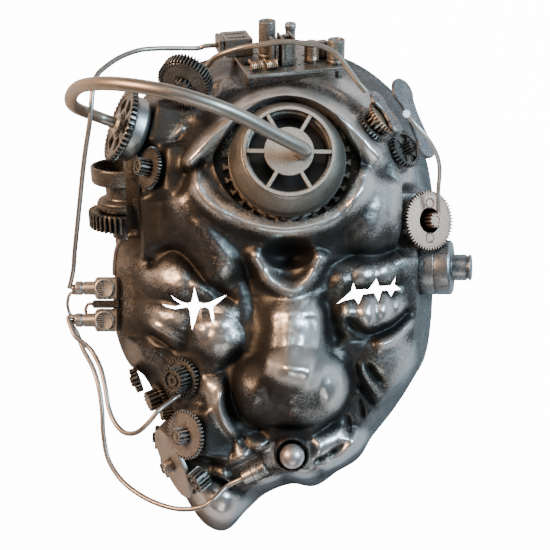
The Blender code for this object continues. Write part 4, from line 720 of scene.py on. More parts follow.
def make_rubbed_group():
    """Rubbed silver over a dark wash with painted shade: an occlusion test darkens hollows and places under
    glued parts towards the wash colour, raised places wear bright, with speckle.
    """
    group, given, result = new_group(
        "rubbed_paint_and_shade",
        [
            ("Wash And Shade", "NodeSocketColor", None), ("Body", "NodeSocketColor", None),
            ("Rubbed", "NodeSocketColor", None),
            ("Standing", "NodeSocketFloat", 0.0), ("Reach", "NodeSocketFloat", 0.004),
            ("Speckle Scale", "NodeSocketFloat", 900.0), ("Wear", "NodeSocketFloat", 0.5),
        ],
        [("Color", "NodeSocketColor"), ("Roughness", "NodeSocketFloat"), ("Height", "NodeSocketFloat")],
    )
    place = group.nodes.new("ShaderNodeTexCoord").outputs["Object"]
    # Painted shade: ambient occlusion darkens creases, recesses and the shell under glued parts towards the
    # wash colour.
    painted_shade_occlusion = group.nodes.new("ShaderNodeAmbientOcclusion")
    painted_shade_occlusion.samples = 8
    group.links.new(given.outputs["Reach"], painted_shade_occlusion.inputs["Distance"])
    speckle = noise_node(group, place, given.outputs["Speckle Scale"], 4.0, 0.7)
    cloud = noise_node(group, place, 110.0, 3.0, 0.6)
    grain = math_node(group, "SUBTRACT", math_node(group, "MULTIPLY", speckle, 2.2), 1.1)
    patch = math_node(group, "SUBTRACT", math_node(group, "MULTIPLY", cloud, 0.7), 0.35)
    uneven = math_node(group, "ADD", grain, patch)
    open_sky = math_node(group, "MULTIPLY", math_node(group, "SUBTRACT", painted_shade_occlusion.outputs["AO"], 0.34), 1.8)
    open_sky = math_node(
        group, "ADD", open_sky, math_node(group, "MULTIPLY", given.outputs["Standing"], 0.22),
    )
    free_of_wash_and_shade = math_node(group, "ADD", open_sky, uneven, clamp=True)
    lifted = math_node(
        group, "ADD", math_node(group, "MULTIPLY", given.outputs["Standing"], 0.34), given.outputs["Wear"],
    )
    lifted = math_node(group, "ADD", lifted, math_node(group, "MULTIPLY", uneven, 1.0))
    lifted = math_node(group, "MULTIPLY", math_node(group, "SUBTRACT", lifted, 0.30), 0.9, clamp=True)
    lifted = math_node(group, "MULTIPLY", lifted, free_of_wash_and_shade)
    # The wash colour here stands partly for the real dark wash and partly for painted shade.
    color = mix_color(group, free_of_wash_and_shade, given.outputs["Wash And Shade"], given.outputs["Body"])
    color = mix_color(group, lifted, color, given.outputs["Rubbed"])
    rough = math_node(group, "SUBTRACT", 0.53, math_node(group, "MULTIPLY", free_of_wash_and_shade, 0.12))
    rough = math_node(group, "SUBTRACT", rough, math_node(group, "MULTIPLY", lifted, 0.10))
    group.links.new(color, result.inputs["Color"])
    group.links.new(rough, result.inputs["Roughness"])
    group.links.new(speckle, result.inputs["Height"])
    return group


RUBBED_PAINT_AND_SHADE = make_rubbed_group()


def rubbed_paint_and_shade(name, wash_and_shade, body, rubbed, metallic, speckle=900.0, wear=0.5, reach=0.004, grain=0.00005,
    standing=None):
    """A metallic paint from the rubbed-paint group, which also paints shade into hollows, with its grain as a
    low bump.
    """
    paint = bpy.data.materials.new(name)
    paint.use_nodes = True
    tree = paint.node_tree
    shader = tree.nodes["Principled BSDF"]
    effect = tree.nodes.new("ShaderNodeGroup")
    effect.node_tree = RUBBED_PAINT_AND_SHADE
    for socket, color in (("Wash And Shade", wash_and_shade), ("Body", body), ("Rubbed", rubbed)):
        effect.inputs[socket].default_value = (*color, 1.0)
    effect.inputs["Speckle Scale"].default_value = speckle
    effect.inputs["Wear"].default_value = wear
    effect.inputs["Reach"].default_value = reach
    if standing:
        layer = tree.nodes.new("ShaderNodeAttribute")
        layer.attribute_name = standing
        tree.links.new(layer.outputs["Fac"], effect.inputs["Standing"])
    relief_bump = tree.nodes.new("ShaderNodeBump")
    relief_bump.inputs["Distance"].default_value = grain
    relief_bump.inputs["Strength"].default_value = 1.0
    tree.links.new(effect.outputs["Height"], relief_bump.inputs["Height"])
    tree.links.new(effect.outputs["Color"], shader.inputs["Base Color"])
    tree.links.new(effect.outputs["Roughness"], shader.inputs["Roughness"])
    tree.links.new(relief_bump.outputs["Normal"], shader.inputs["Normal"])
    shader.inputs["Metallic"].default_value = metallic
    return paint


# The face paint darkens its hollows by the group's occlusion test, which is painted shade.
FACE_PAINT = rubbed_paint_and_shade(
    "face_paint", (0.035, 0.034, 0.032), (0.072, 0.069, 0.062), (0.62, 0.60, 0.56), 0.88,
    speckle=1000.0, wear=0.36, reach=0.006, grain=0.00009, standing="standing",
)

face_mesh = cut_openings(new_mesh("face_shell", *shell_surface()))
store_standing(face_mesh)
face_shell = finish_piece("face_shell", face_mesh, FACE_PAINT, ["mask_shell"], sharp=50.0)


# The eye
# A turned lens cup glued into the socket over a toothed crown ring. Its mouth is closed by a
# six-spoked grille with a round hub, over a flat black disc, and a bent pipe rises from the hub.

GAP = 0.3
LENS_BASE_RADIUS = 25.2
LENS_FRONT_RADIUS = 19.5
LENS_BORE_RADIUS = 18.2
LENS_HEIGHT = 12.0
CROWN_PRONGS = 29
HUB_RADIUS = 10.6
SPOKE_WIDTH = 1.65
SPOKES = 6
PIPE_RADIUS = 2.9


def softened(profile, cut):
    """Each inner corner of a profile becomes three points on a small round of the given size."""
    p = np.asarray(profile, float)
    before, here, after = p[:-2], p[1:-1], p[2:]
    back, on = before - here, after - here
    reach_back = np.linalg.norm(back, axis=1, keepdims=True)
    reach_on = np.linalg.norm(on, axis=1, keepdims=True)
    size = np.minimum(np.minimum(reach_back, reach_on) * 0.45, cut)
    first = here + back / reach_back * size
    last = here + on / reach_on * size
    middle = 0.5 * here + 0.25 * (first + last)
    return np.vstack([p[:1], np.stack([first, middle, last], axis=1).reshape(-1, p.shape[1]), p[-1:]])


def turned(profile, sides=64, sweep=2.0 * math.pi, start=0.0):
    """A profile of (radius, height) carried round Z: x is r cos a, y is r sin a, z the height."""
    profile = np.asarray(profile, float)
    whole = sweep > 6.28
    turn = start + sweep * np.arange(sides if whole else sides + 1) / sides
    r, z = profile[:, :1], profile[:, 1:]
    points = np.stack([r * np.cos(turn), r * np.sin(turn), z + 0.0 * turn], axis=-1)
    rows, columns = points.shape[:2]
    faces = grid_quads(rows, columns, close_columns=whole).tolist()
    if not whole:
        faces += [[i * columns for i in range(rows)], [i * columns + columns - 1 for i in range(rows)][::-1]]
    return points.reshape(-1, 3), faces


def block(low, high, cut=0.25):
    """A block with chamfered edges along Z and round its top and bottom."""
    (x0, y0, z0), (x1, y1, z1) = low, high
    def ring(grow, z):
        a, b, c, d = x0 - grow, x1 + grow, y0 - grow, y1 + grow
        corners = [
            (a + cut, c), (b - cut, c), (b, c + cut), (b, d - cut), (b - cut, d), (a + cut, d), (a, d - cut),
            (a, c + cut),
        ]
        return np.column_stack([np.array(corners), np.full(8, z)])
    points = np.vstack([ring(-cut, z0), ring(0.0, z0 + cut), ring(0.0, z1 - cut), ring(-cut, z1)])
    return points, grid_quads(4, 8, close_columns=True).tolist() + [list(range(8)), list(range(31, 23, -1))]


def plate(outline, low, high, cut=0.3):
    """A flat outline with thickness, its upper and lower edges drawn in by the cut."""
    outline = np.asarray(outline, float)
    ahead, behind = np.roll(outline, -1, axis=0), np.roll(outline, 1, axis=0)
    run = ahead - behind
    run /= np.linalg.norm(run, axis=1, keepdims=True)
    inner = outline - np.stack([run[:, 1], -run[:, 0]], axis=1) * cut
    rings = [(inner, low), (outline, low + cut), (outline, high - cut), (inner, high)]
    count = len(outline)
    points = np.vstack([np.column_stack([ring, np.full(count, z)]) for ring, z in rings])
    faces = grid_quads(4, count, close_columns=True).tolist()
    return points, faces + [list(range(count)), list(range(4 * count - 1, 3 * count - 1, -1))]


def wheel(tip, root, teeth, low, high, inside, cut=0.25, windows=0, dip=0.0, share=0.55):
    """A toothed wheel: rings of four points a tooth, then plain rings (radius, height, dips) to the middle.

    The outer rings swing between root and tip radius; where a plain ring dips, its height is
    lowered inside the windows, which take the given share of each sector.
    """
    shares = np.array((0.0, 0.17, 0.50, 0.67))
    turn = (2.0 * np.pi * (np.arange(teeth)[:, None] + shares) / teeth).ravel()
    tooth = np.tile((root, tip, tip, root), teeth)
    opening = np.mod(turn * windows / (2.0 * np.pi), 1.0) < share if windows else np.zeros(len(turn), bool)
    rings = [
        (0.0 * tooth, low), (0.0 * tooth + root - cut, low), (tooth, low + cut), (tooth, high - cut),
        (tooth - cut, high),
    ]
    rings += [(0.0 * tooth + radius, height - dip * dips * opening) for radius, height, dips in inside]
    points = np.vstack(
        [np.column_stack([r * np.cos(turn), r * np.sin(turn), z + 0.0 * turn]) for r, z in rings]
    )
    return points, grid_quads(len(rings), len(turn), close_columns=True).tolist()


def tube(path, radius, sides=16):
    """Circles across a path: centre plus r cos a times N plus r sin a times B, with N carried along it."""
    path = np.asarray(path, float)
    along_path = np.gradient(path, axis=0)
    along_path /= np.linalg.norm(along_path, axis=1, keepdims=True)
    side = np.cross(along_path[0], (0.31, 0.52, 0.79))
    sides_of = []
    for direction in along_path:
        side = side - direction * (side @ direction)
        side = side / np.linalg.norm(side)
        sides_of.append(side)
    n = np.array(sides_of)
    b = np.cross(along_path, n)
    turn = np.linspace(0.0, 2.0 * np.pi, sides, endpoint=False)
    r = np.broadcast_to(np.asarray(radius, float), (len(path),))[:, None, None]
    ring = path[:, None] + r * (np.cos(turn)[:, None] * n[:, None] + np.sin(turn)[:, None] * b[:, None])
    ends = np.stack([np.repeat(path[:1], sides, axis=0), np.repeat(path[-1:], sides, axis=0)])
    points = np.concatenate([ends[:1], ring, ends[1:]])
    return points.reshape(-1, 3), grid_quads(len(points), sides, close_columns=True).tolist()


def gather(*parts):
    """Several (frame, (points, faces)) parts as one list of points and faces."""
    points, faces, first = [], [], 0
    for place, (own_points, own_faces) in parts:
        points.append(placed(place, own_points))
        faces += [[first + k for k in face] for face in own_faces]
        first += len(own_points)
    return np.vstack(points), faces


def add_piece(name, paint, slot, stands_for, *parts, sharp=35.0):
    """One finished piece made of the given parts."""
    return finish_piece(name, new_mesh(name, *gather(*parts)), paint, stands_for, sharp)


cad_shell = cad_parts["mask_shell"].data
SHELL_TREE = BVHTree.FromPolygons(
    [Vector(vertex.co) / MM - Vector(FACE_SHIFT) for vertex in cad_shell.vertices],
    [tuple(face.vertices) for face in cad_shell.polygons],
)


def rest(place, radius, far=40.0):
    """The frame moved along its Z until its floor just clears the solid shell within the radius."""
    axis = place[:3, 2]
    turn = np.linspace(0.0, 2.0 * np.pi, 24, endpoint=False)
    ring = radius * np.stack([np.cos(turn), np.sin(turn)], axis=1)
    height = -far
    for x, y in np.vstack([[(0.0, 0.0)], 0.25 * ring, 0.5 * ring, 0.75 * ring, ring]):
        hit = SHELL_TREE.ray_cast(Vector(placed(place, [(x, y, far)])[0]), Vector(-axis), 2.0 * far)
        if hit[0] is not None:
            height = max(height, far - hit[3])
    return offset(place, z=height + GAP)


CUP_PAINT = rubbed_paint_and_shade(
    "cup_paint", (0.03, 0.028, 0.024), (0.25, 0.235, 0.20), (0.55, 0.52, 0.46), 0.85, 1500.0, 0.40, 0.003,
)
CREAM_METAL = rubbed_paint_and_shade(
    "cream_metal", (0.10, 0.085, 0.06), (0.46, 0.415, 0.34), (0.88, 0.83, 0.74), 0.75, 1300.0, 0.55, 0.002,
)
DARK_METAL = rubbed_paint_and_shade(
    "dark_metal", (0.006, 0.006, 0.006), (0.055, 0.053, 0.05), (0.42, 0.40, 0.37), 0.8, 1100.0, 0.32, 0.003,
)
PIPE_METAL = rubbed_paint_and_shade(
    "pipe_metal", (0.05, 0.045, 0.035), (0.34, 0.305, 0.255), (0.60, 0.55, 0.47), 0.9, 1600.0, 0.45, 0.004,
    0.00002,
)
BLACK_DISC_PAINT = rubbed_paint_and_shade(
    "black_disc_paint", (0.002, 0.002, 0.002), (0.004, 0.004, 0.004), (0.01, 0.01, 0.01), 0.0, 800.0, 0.1, 0.002,
    0.00001,
)


def crown_prongs():
    """A ring of flared tabs: each rises outwards from the ring and widens at its tip."""
    u = np.array([(24.3, -0.7, -6.6), (24.3, 0.7, -6.6), (27.0, 0.45, -4.9), (27.6, 1.25, -4.3),
        (28.3, 1.2, -4.0),
                  (28.3, -1.2, -4.0), (27.6, -1.25, -4.3), (27.0, -0.45, -4.9)])
    turn = 2.0 * np.pi * np.arange(CROWN_PRONGS) / CROWN_PRONGS
    c, s = np.cos(turn)[:, None], np.sin(turn)[:, None]
    both = np.concatenate([u, u - (0.0, 0.0, 0.9)])
    points = np.stack(
        [c * both[:, 0] - s * both[:, 1], s * both[:, 0] + c * both[:, 1], both[:, 2] + 0.0 * c], axis=-1,
    )
    faces = []
    for k in range(CROWN_PRONGS):
        first = 16 * k
        faces += [[first + i for i in range(8)], [first + 15 - i for i in range(8)]]
        faces += [[first + i, first + 8 + i, first + 8 + (i + 1) % 8, first + (i + 1) % 8] for i in range(8)]
    return points.reshape(-1, 3), faces


crown_low = GAP - SOCKET_DEPTH
crown_band = [
    (20.0, crown_low), (25.6, crown_low), (25.6, crown_low + 0.9), (20.0, crown_low + 0.9), (20.0, crown_low),
]
add_piece(
    "crown_ring", CREAM_METAL, "dark_steel", ["eye_crown_ring"],
    (EYE, turned(crown_band)), (EYE, crown_prongs()),
)

cup_foot = crown_low + 1.0 + GAP
cup_ledge = LENS_HEIGHT - 2.2
cup_profile = [
    (LENS_BORE_RADIUS - 1.0, cup_foot), (LENS_BASE_RADIUS - 0.8, cup_foot), (LENS_BASE_RADIUS - 0.8, -1.3),
    (LENS_BASE_RADIUS + 0.6, -1.3), (LENS_BASE_RADIUS + 0.6, -0.5), (LENS_BASE_RADIUS + 0.15, -0.2),
    (LENS_BASE_RADIUS - 0.5, 2.4), (LENS_BASE_RADIUS - 2.9, 7.2),
    (LENS_FRONT_RADIUS + 0.9, LENS_HEIGHT - 1.3),
    (LENS_FRONT_RADIUS + 0.35, LENS_HEIGHT - 1.0), (LENS_FRONT_RADIUS + 0.25, LENS_HEIGHT - 0.2),
    (LENS_FRONT_RADIUS - 0.2, LENS_HEIGHT), (LENS_BORE_RADIUS + 0.1, LENS_HEIGHT),
    (LENS_BORE_RADIUS, cup_ledge),
    (LENS_BORE_RADIUS - 1.0, cup_ledge), (LENS_BORE_RADIUS - 1.0, cup_foot),
]
add_piece("lens_cup", CUP_PAINT, "bronze_grey", ["eye_bezel"], (EYE, turned(softened(cup_profile, 0.3), 128)))
mouth_ring = [
    (LENS_BORE_RADIUS + 0.1, LENS_HEIGHT - 0.6), (LENS_FRONT_RADIUS + 0.1, LENS_HEIGHT - 0.6),
    (LENS_FRONT_RADIUS + 0.1, LENS_HEIGHT + 0.12), (LENS_BORE_RADIUS + 0.1, LENS_HEIGHT + 0.12),
    (LENS_BORE_RADIUS + 0.1, LENS_HEIGHT - 0.6),
]


def grille_outline():
    """The hub's circle with six straight spokes reaching the bore."""
    reach = LENS_BORE_RADIUS - 0.05
    half_width = SPOKE_WIDTH / 2.0
    inner = math.sqrt(HUB_RADIUS**2 - half_width**2)
    outer = math.sqrt(reach**2 - half_width**2)
    edge = math.asin(half_width / HUB_RADIUS)
    arc = np.linspace(edge, 2.0 * np.pi / SPOKES - edge, 14)[1:-1]
    one = np.vstack([
        [(inner, -half_width), (outer, -half_width), (outer, half_width), (inner, half_width)],
        np.stack([HUB_RADIUS * np.cos(arc), HUB_RADIUS * np.sin(arc)], axis=1),
    ])
    turn = 2.0 * np.pi * np.arange(SPOKES)[:, None] / SPOKES
    x = one[:, 0] * np.cos(turn) - one[:, 1] * np.sin(turn)
    y = one[:, 0] * np.sin(turn) + one[:, 1] * np.cos(turn)
    return np.stack([x.ravel(), y.ravel()], axis=1)


grille_low = cup_ledge + GAP
hub_cap = [
    (0.0, grille_low), (HUB_RADIUS - 0.4, grille_low), (HUB_RADIUS - 0.3, LENS_HEIGHT - 0.2),
    (0.0, LENS_HEIGHT - 0.05),
]
add_piece(
    "eye_grille_hub", CREAM_METAL, "bright_silver", ["eye_grille"],
    (EYE, plate(grille_outline(), grille_low, LENS_HEIGHT - 0.15, 0.22)),
    (EYE, turned(softened(hub_cap, 0.3), 96)), (EYE, turned(mouth_ring, 128)),
)
# A flat black disc under the grille, which makes the inside of the lens cup read black.
black_disc = [(0.0, 1.0), (LENS_BORE_RADIUS - 1.3, 1.0), (LENS_BORE_RADIUS - 1.3, 2.0), (0.0, 2.0)]
add_piece("eye_black_disc", BLACK_DISC_PAINT, "dark_steel", [], (EYE, turned(black_disc, 64)))

drum = rest(seat(DRUM_MIDDLE, DRUM_NORMAL, (0.0, 1.0, 0.0)), 12.0)
pipe_route = np.vstack([
    placed(EYE, [(5.5, -1.0, LENS_HEIGHT - 0.1), (5.2, -0.9, LENS_HEIGHT + 6.0)]),
    [(-1.0, 57.5, 93.0), (-13.8, 62.6, 104.0), (-25.0, 66.0, 111.0), (-40.0, 70.0, 114.0),
        (-56.0, 73.5, 110.0)],
    [(-69.5, 76.0, 101.0), (-80.0, 77.0, 89.0), (-86.5, 75.5, 75.0), (-87.5, 73.5, 62.0)],
    placed(drum, [(0.0, 0.0, 21.3), (0.0, 0.0, 13.0)]),
])
pipe_path = smooth_path(pipe_route, 12)
pipe_sizes = np.linspace(PIPE_RADIUS + 0.15, PIPE_RADIUS - 0.3, len(pipe_path))
add_piece("bent_pipe", PIPE_METAL, "bronze_grey", ["eye_pipe"], (np.eye(4), tube(pipe_path, pipe_sizes, 28)))


# The left temple
# A crown gear on a bright cup carries the pipe's far end; below it a turned spool and its ring
# gear are half sunk in the side wall, and a small wheel with a pinion sits on the face.

DISC_RADIUS = 17.6
DISC_GREY = rubbed_paint_and_shade(
    "disc_grey", (0.06, 0.055, 0.05), (0.33, 0.30, 0.27), (0.62, 0.57, 0.52), 0.8, 900.0, 0.42, 0.004,
)
GEAR_SILVER = rubbed_paint_and_shade(
    "gear_silver", (0.008, 0.008, 0.008), (0.15, 0.145, 0.13), (0.62, 0.58, 0.51), 0.85, 1200.0, 0.42, 0.0025,
)
CUP_SILVER = rubbed_paint_and_shade(
    "cup_silver", (0.02, 0.02, 0.02), (0.36, 0.35, 0.33), (0.72, 0.71, 0.69), 0.9, 1300.0, 0.48, 0.004,
)
SPOOL_BRONZE = rubbed_paint_and_shade(
    "spool_bronze", (0.008, 0.008, 0.007), (0.13, 0.12, 0.10), (0.52, 0.47, 0.40), 0.85, 1000.0, 0.38, 0.004,
)

cup = [(0.0, 0.0), (12.0, 0.0), (15.0, 2.4), (15.0, 7.4), (14.3, 8.2), (0.0, 8.2)]
add_piece(
    "drum_bright_cup", CUP_SILVER, "bright_silver", ["drum_cup"], (drum, turned(softened(cup, 0.6), 72)),
)
face_rings = [
    (14.8, 11.0, 0), (14.5, 10.4, 0), (12.6, 10.4, 0), (12.4, 10.3, 1), (7.6, 10.3, 1), (7.4, 10.4, 0),
    (6.2, 10.4, 0), (6.0, 11.0, 0), (0.0, 11.0, 0),
]
add_piece(
    "drum_crown_gear", GEAR_SILVER, "antique_silver", ["drum_gear"],
    (drum, wheel(17.5, 15.7, 44, 8.2, 11.0, face_rings, 0.3, windows=6, dip=1.4, share=0.6)),
)
hub = [(0.0, 10.8), (4.9, 10.8), (4.9, 12.0), (4.2, 12.6), (3.6, 13.2), (0.0, 13.2)]
add_piece(
    "drum_hub_boss", CREAM_METAL, "bright_silver", ["drum_hub"], (drum, turned(softened(hub, 0.25), 40)),
)

spool_bed = rest(seat(SPOOL_MIDDLE, SPOOL_NORMAL, SPOOL_AXIS), 18.0)
spool = seat(spool_bed[:3, 3], SPOOL_AXIS, SPOOL_NORMAL)
HALF_TURN = {"sweep": math.pi, "start": -math.pi / 2.0}
spool_profile = [
    (0.0, 4.0), (12.2, 4.0), (12.9, 4.6), (12.9, 8.4), (12.2, 9.0), (9.4, 9.4), (9.0, 10.2), (9.0, 15.2),
    (9.6, 15.8),
    (14.4, 17.0), (15.2, 17.8), (15.4, 24.4), (14.9, 25.0), (14.2, 25.0), (13.5, 24.2), (13.4, 19.0),
    (0.0, 19.0),
]
band = [(13.0, 5.6), (13.4, 5.8), (13.4, 7.2), (13.0, 7.4)]
add_piece(
    "turned_spool", SPOOL_BRONZE, "bronze_grey", ["spool_body"],
    (spool, turned(softened(spool_profile, 0.25), 48, **HALF_TURN)), (spool, turned(band, 48, **HALF_TURN)),
)


def half_gear_outline(tip, root, teeth):
    """The teeth of a ring gear on one side of its middle, closed by a straight cut."""
    shares = np.array((0.0, 0.17, 0.50, 0.67))
    turn = (2.0 * np.pi * (np.arange(teeth)[:, None] + shares) / teeth).ravel() - np.pi
    radius = np.tile((root, tip, tip, root), teeth)
    outline = np.stack([radius * np.cos(turn), radius * np.sin(turn)], axis=1)
    outline = outline[outline[:, 0] > 0.4]
    return np.vstack([[(0.05, -root)], outline, [(0.05, root)]])


add_piece(
    "spool_ring_gear", SPOOL_BRONZE, "antique_silver", ["spool_gear"],
    (spool, plate(half_gear_outline(17.6, 15.5, 42), -3.7, 3.7, 0.2)),
)
foot = [(0.0, -10.0), (6.4, -10.0), (7.0, -9.4), (7.0, -4.0), (0.0, -4.0)]
add_piece(
    "spool_lower_foot", SPOOL_BRONZE, "bronze_grey", ["spool_foot"],
    (spool, turned(softened(foot, 0.3), 24, **HALF_TURN)),
)

temple = rest(seat(*PADS["temple_gear"][:3]), 9.8)
temple_rings = [(8.2, 2.2, 0), (8.0, 2.0, 0), (0.0, 2.0, 0)]
pinion_top = [(2.4, 7.8, 0), (2.2, 7.2, 0), (1.1, 7.2, 0), (1.0, 6.8, 0), (0.0, 6.8, 0)]
collar = [(0.0, -3.0), (3.6, -3.0), (3.6, 1.0), (0.0, 1.0)]
add_piece(
    "temple_wheel", GEAR_SILVER, "antique_silver", ["temple_gear"],
    (temple, wheel(9.8, 8.5, 40, 0.8, 2.2, temple_rings, 0.15)),
    (temple, wheel(4.0, 2.9, 14, 1.8, 7.8, pinion_top, 0.15)), (temple, turned(collar, 24)),
)


# The crest wheel
# A thick spur wheel at the top left, standing on its edge and carried by a block behind it.

post = rest(seat(CREST_MIDDLE, CREST_UP, CREST_RIGHT), 5.0)
add_piece(
    "crest_block", DARK_METAL, "dark_steel", ["crest_gear_post"],
    (post, block((-3.5, -3.0, -2.0), (3.5, 3.0, 13.0))),
)
CREST_RADIUS = 12.2
crest = seat(offset(post, y=-3.0 - GAP, z=CREST_RADIUS + 1.0)[:3, 3], -post[:3, 1], post[:3, 0])
crest_rings = [(10.5, 6.5, 0), (10.2, 5.8, 0), (7.0, 6.2, 0), (4.0, 6.4, 0), (0.0, 6.4, 0)]
add_piece(
    "crest_wheel", GEAR_SILVER, "antique_silver", ["crest_gear"],
    (crest, wheel(CREST_RADIUS, 10.9, 48, 0.0, 6.5, crest_rings, 0.3)),
    (crest, wheel(4.0, 3.0, 12, 5.8, 9.3, [(2.2, 9.3, 0), (2.0, 8.7, 0), (0.0, 8.7, 0)], 0.15)),
)


# The circuit board
# A small plate of scrap electronics on four feet over the forehead: a socket, chips, cans, a
# coil and a metal clip are soldered to it, with curls of brass wire, all sprayed silver.

BOARD_SILVER = rubbed_paint_and_shade(
    "board_silver", (0.01, 0.01, 0.009), (0.20, 0.19, 0.165), (0.66, 0.62, 0.55), 0.85, 1300.0, 0.45, 0.003,
)
BRASS_WIRE = rubbed_paint_and_shade(
    "brass_wire", (0.02, 0.012, 0.006), (0.42, 0.30, 0.20), (0.85, 0.66, 0.48), 0.9, 1500.0, 0.55, 0.002,
)
PLATE_LOW = 2.8
PLATE_TOP = 4.4
PLATE_HALF_X = 24.0
PLATE_FRONT = -24.5
PLATE_BACK = 17.0

board = rest(seat(BOARD_MIDDLE, BOARD_NORMAL, BOARD_RIGHT), 24.0)
top = offset(board, z=PLATE_TOP)


def solder_dots(count, seed):
    """Small domes of solder at seeded places on the plate."""
    places = np.random.default_rng(seed).uniform((-22.0, -23.5), (22.5, 14.0), (count, 2))
    dome_profile = [(0.0, -0.2), (0.55, 0.0), (0.4, 0.35), (0.0, 0.45)]
    return [(offset(top, x=x, y=y), turned(dome_profile, 8)) for x, y in places]


plate_outline = [
    (-PLATE_HALF_X, PLATE_FRONT), (PLATE_HALF_X, PLATE_FRONT), (PLATE_HALF_X, PLATE_BACK),
    (-PLATE_HALF_X, PLATE_BACK),
]
board_foot = [(0.0, -3.0), (1.6, -3.0), (1.6, PLATE_LOW + 0.4), (0.0, PLATE_LOW + 0.4)]
foot_places = [(-21.5, -17.0), (21.5, -17.0), (21.5, 14.5), (-21.5, 14.5)]
add_piece(
    "scrap_board", BOARD_SILVER, "dark_steel", ["circuit_board"],
    (board, plate(plate_outline, PLATE_LOW, PLATE_TOP, 0.2)),
    *[(offset(board, x=x, y=y), turned(board_foot, 16)) for x, y in foot_places], *solder_dots(60, 3),
)
add_piece(
    "wire_socket", BOARD_SILVER, "bronze_grey", ["connector_box"],
    (top, block((-28.5, 1.5, 0.0), (-15.2, 16.0, 8.3), 0.4)),
    (top, block((-31.0, 2.6, 0.6), (-28.4, 14.9, 8.0), 0.3)),
    (top, block((-30.2, 1.9, 6.0), (-29.4, 15.4, 8.3), 0.2)),
    (top, block((-26.5, 5.0, 8.2), (-17.5, 6.2, 8.6), 0.1)),
    (top, block((-26.5, 11.0, 8.2), (-17.5, 12.2, 8.6), 0.1)),
    (top, block((-15.4, 3.0, 2.0), (-14.9, 14.0, 6.0), 0.1)),
)
chip_legs = [
    (top, block((-22.6 + 1.5 * k, -11.2, 0.0), (-22.0 + 1.5 * k, -10.3, 0.9), 0.1)) for k in range(5)
]
add_piece(
    "flat_chip_body", DARK_METAL, "dark_steel", ["flat_chip"],
    (top, block((-22.5, -10.5, 0.1), (-15.5, -4.5, 1.8), 0.2)), *chip_legs,
)


def can(radius, height):
    """A can's profile: a crimped foot, a groove over it, straight walls and a rim round a sunk top."""
    return softened([
        (0.0, 0.0), (radius, 0.0), (radius, 1.4), (radius - 0.35, 1.8), (radius - 0.35, 2.2), (radius, 2.6),
        (radius * 0.97, height - 0.3), (radius * 0.9, height), (radius * 0.74, height),
        (radius * 0.70, height - 0.5),
        (radius * 0.35, height - 0.35), (radius * 0.30, height - 0.8), (0.0, height - 0.8),
    ], 0.15)


add_piece(
    "left_can", BOARD_SILVER, "bronze_grey", ["capacitor_left"],
    (offset(top, x=-9.0, y=-1.0), turned(can(4.2, 17.2), 48)),
)
add_piece(
    "right_can", BOARD_SILVER, "bronze_grey", ["capacitor_right"],
    (offset(top, x=19.8, y=-17.0), turned(can(4.2, 11.0), 48)),
)
add_piece(
    "slanted_block", BOARD_SILVER, "bronze_grey", ["small_block"],
    (top, block((-10.4, -14.0, 0.0), (-8.7, -9.0, 12.2), 0.2)),
    (top, block((-8.2, -14.0, 0.0), (-6.5, -9.0, 11.6), 0.2)),
    (top, block((-9.2, -13.2, 0.0), (-7.6, -9.6, 11.0), 0.2)),
)
add_piece(
    "metal_clip", BOARD_SILVER, "bronze_grey", ["tall_block"],
    (top, block((-5.9, -16.6, 0.0), (0.4, -6.0, 11.2), 0.3)),
    (top, block((-5.9, -16.9, 0.0), (-4.9, -6.2, 13.2), 0.2)),
    (top, block((-0.7, -16.9, 0.0), (0.4, -6.2, 13.2), 0.2)),
    (top, block((-4.4, -16.9, 2.0), (-1.2, -16.2, 12.4), 0.2)),
    (top, block((-4.4, -12.0, 10.8), (-1.2, -9.0, 13.0), 0.3)),
)
cap_profile = [
    (0.0, 0.0), (2.4, 0.0), (2.4, 11.5), (2.8, 12.0), (2.8, 14.0), (2.2, 14.7), (1.0, 14.7), (0.9, 14.2),
    (0.0, 14.2),
]
add_piece(
    "round_end_cap", CUP_SILVER, "bright_silver", ["round_cap"],
    (offset(top, x=2.8, y=1.0), turned(softened(cap_profile, 0.2), 32)),
)


def coil_winding(radius, low, high, turns, wire):
    """Wire wound on a helix: x is r cos a, y is r sin a, and the height grows with the angle."""
    a = np.linspace(0.0, 2.0 * np.pi * turns, 16 * turns)
    helix = np.stack([radius * np.cos(a), radius * np.sin(a), low + (high - low) * a / a[-1]], axis=1)
    return tube(helix, wire, 6)


coil_at = offset(top, x=9.3, y=-12.5)
coil_core = [(0.0, 0.0), (3.0, 0.0), (3.0, 7.6), (3.5, 7.9), (3.3, 9.0), (2.2, 9.7), (0.0, 10.0)]
add_piece(
    "wound_coil", BRASS_WIRE, "dark_steel", ["coil"],
    (coil_at, turned(softened(coil_core, 0.2), 32)), (coil_at, coil_winding(3.15, 0.5, 7.4, 9, 0.38)),
)
add_piece(
    "tilted_chip_body", BOARD_SILVER, "bronze_grey", ["tilted_chip"],
    (top, block((13.8, -11.0, 0.0), (18.3, -6.5, 8.0), 0.35)),
    (top, block((14.6, -11.3, 2.0), (17.4, -10.6, 6.4), 0.2)),
)
for curl_name, node, curl_x in (("left_wire_curl", "brass_curl_left", -18.5),
    ("right_wire_curl", "brass_curl_right", -11.5)):
    roll = seat(placed(top, [(curl_x - 3.0, -19.5, 2.5)])[0], board[:3, :3] @ (1.0, 0.12, 0.0), BOARD_NORMAL)
    end_wire = smooth_path([(1.7, 0.0, 0.3), (2.4, -1.6, -0.2), (0.6, -2.4, 0.4)], 6)
    add_piece(
        curl_name, BRASS_WIRE, "copper_wash", [node],
        (roll, coil_winding(1.7, 0.2, 5.8, 6, 0.42)), (roll, tube(end_wire, 0.4, 8)),
    )

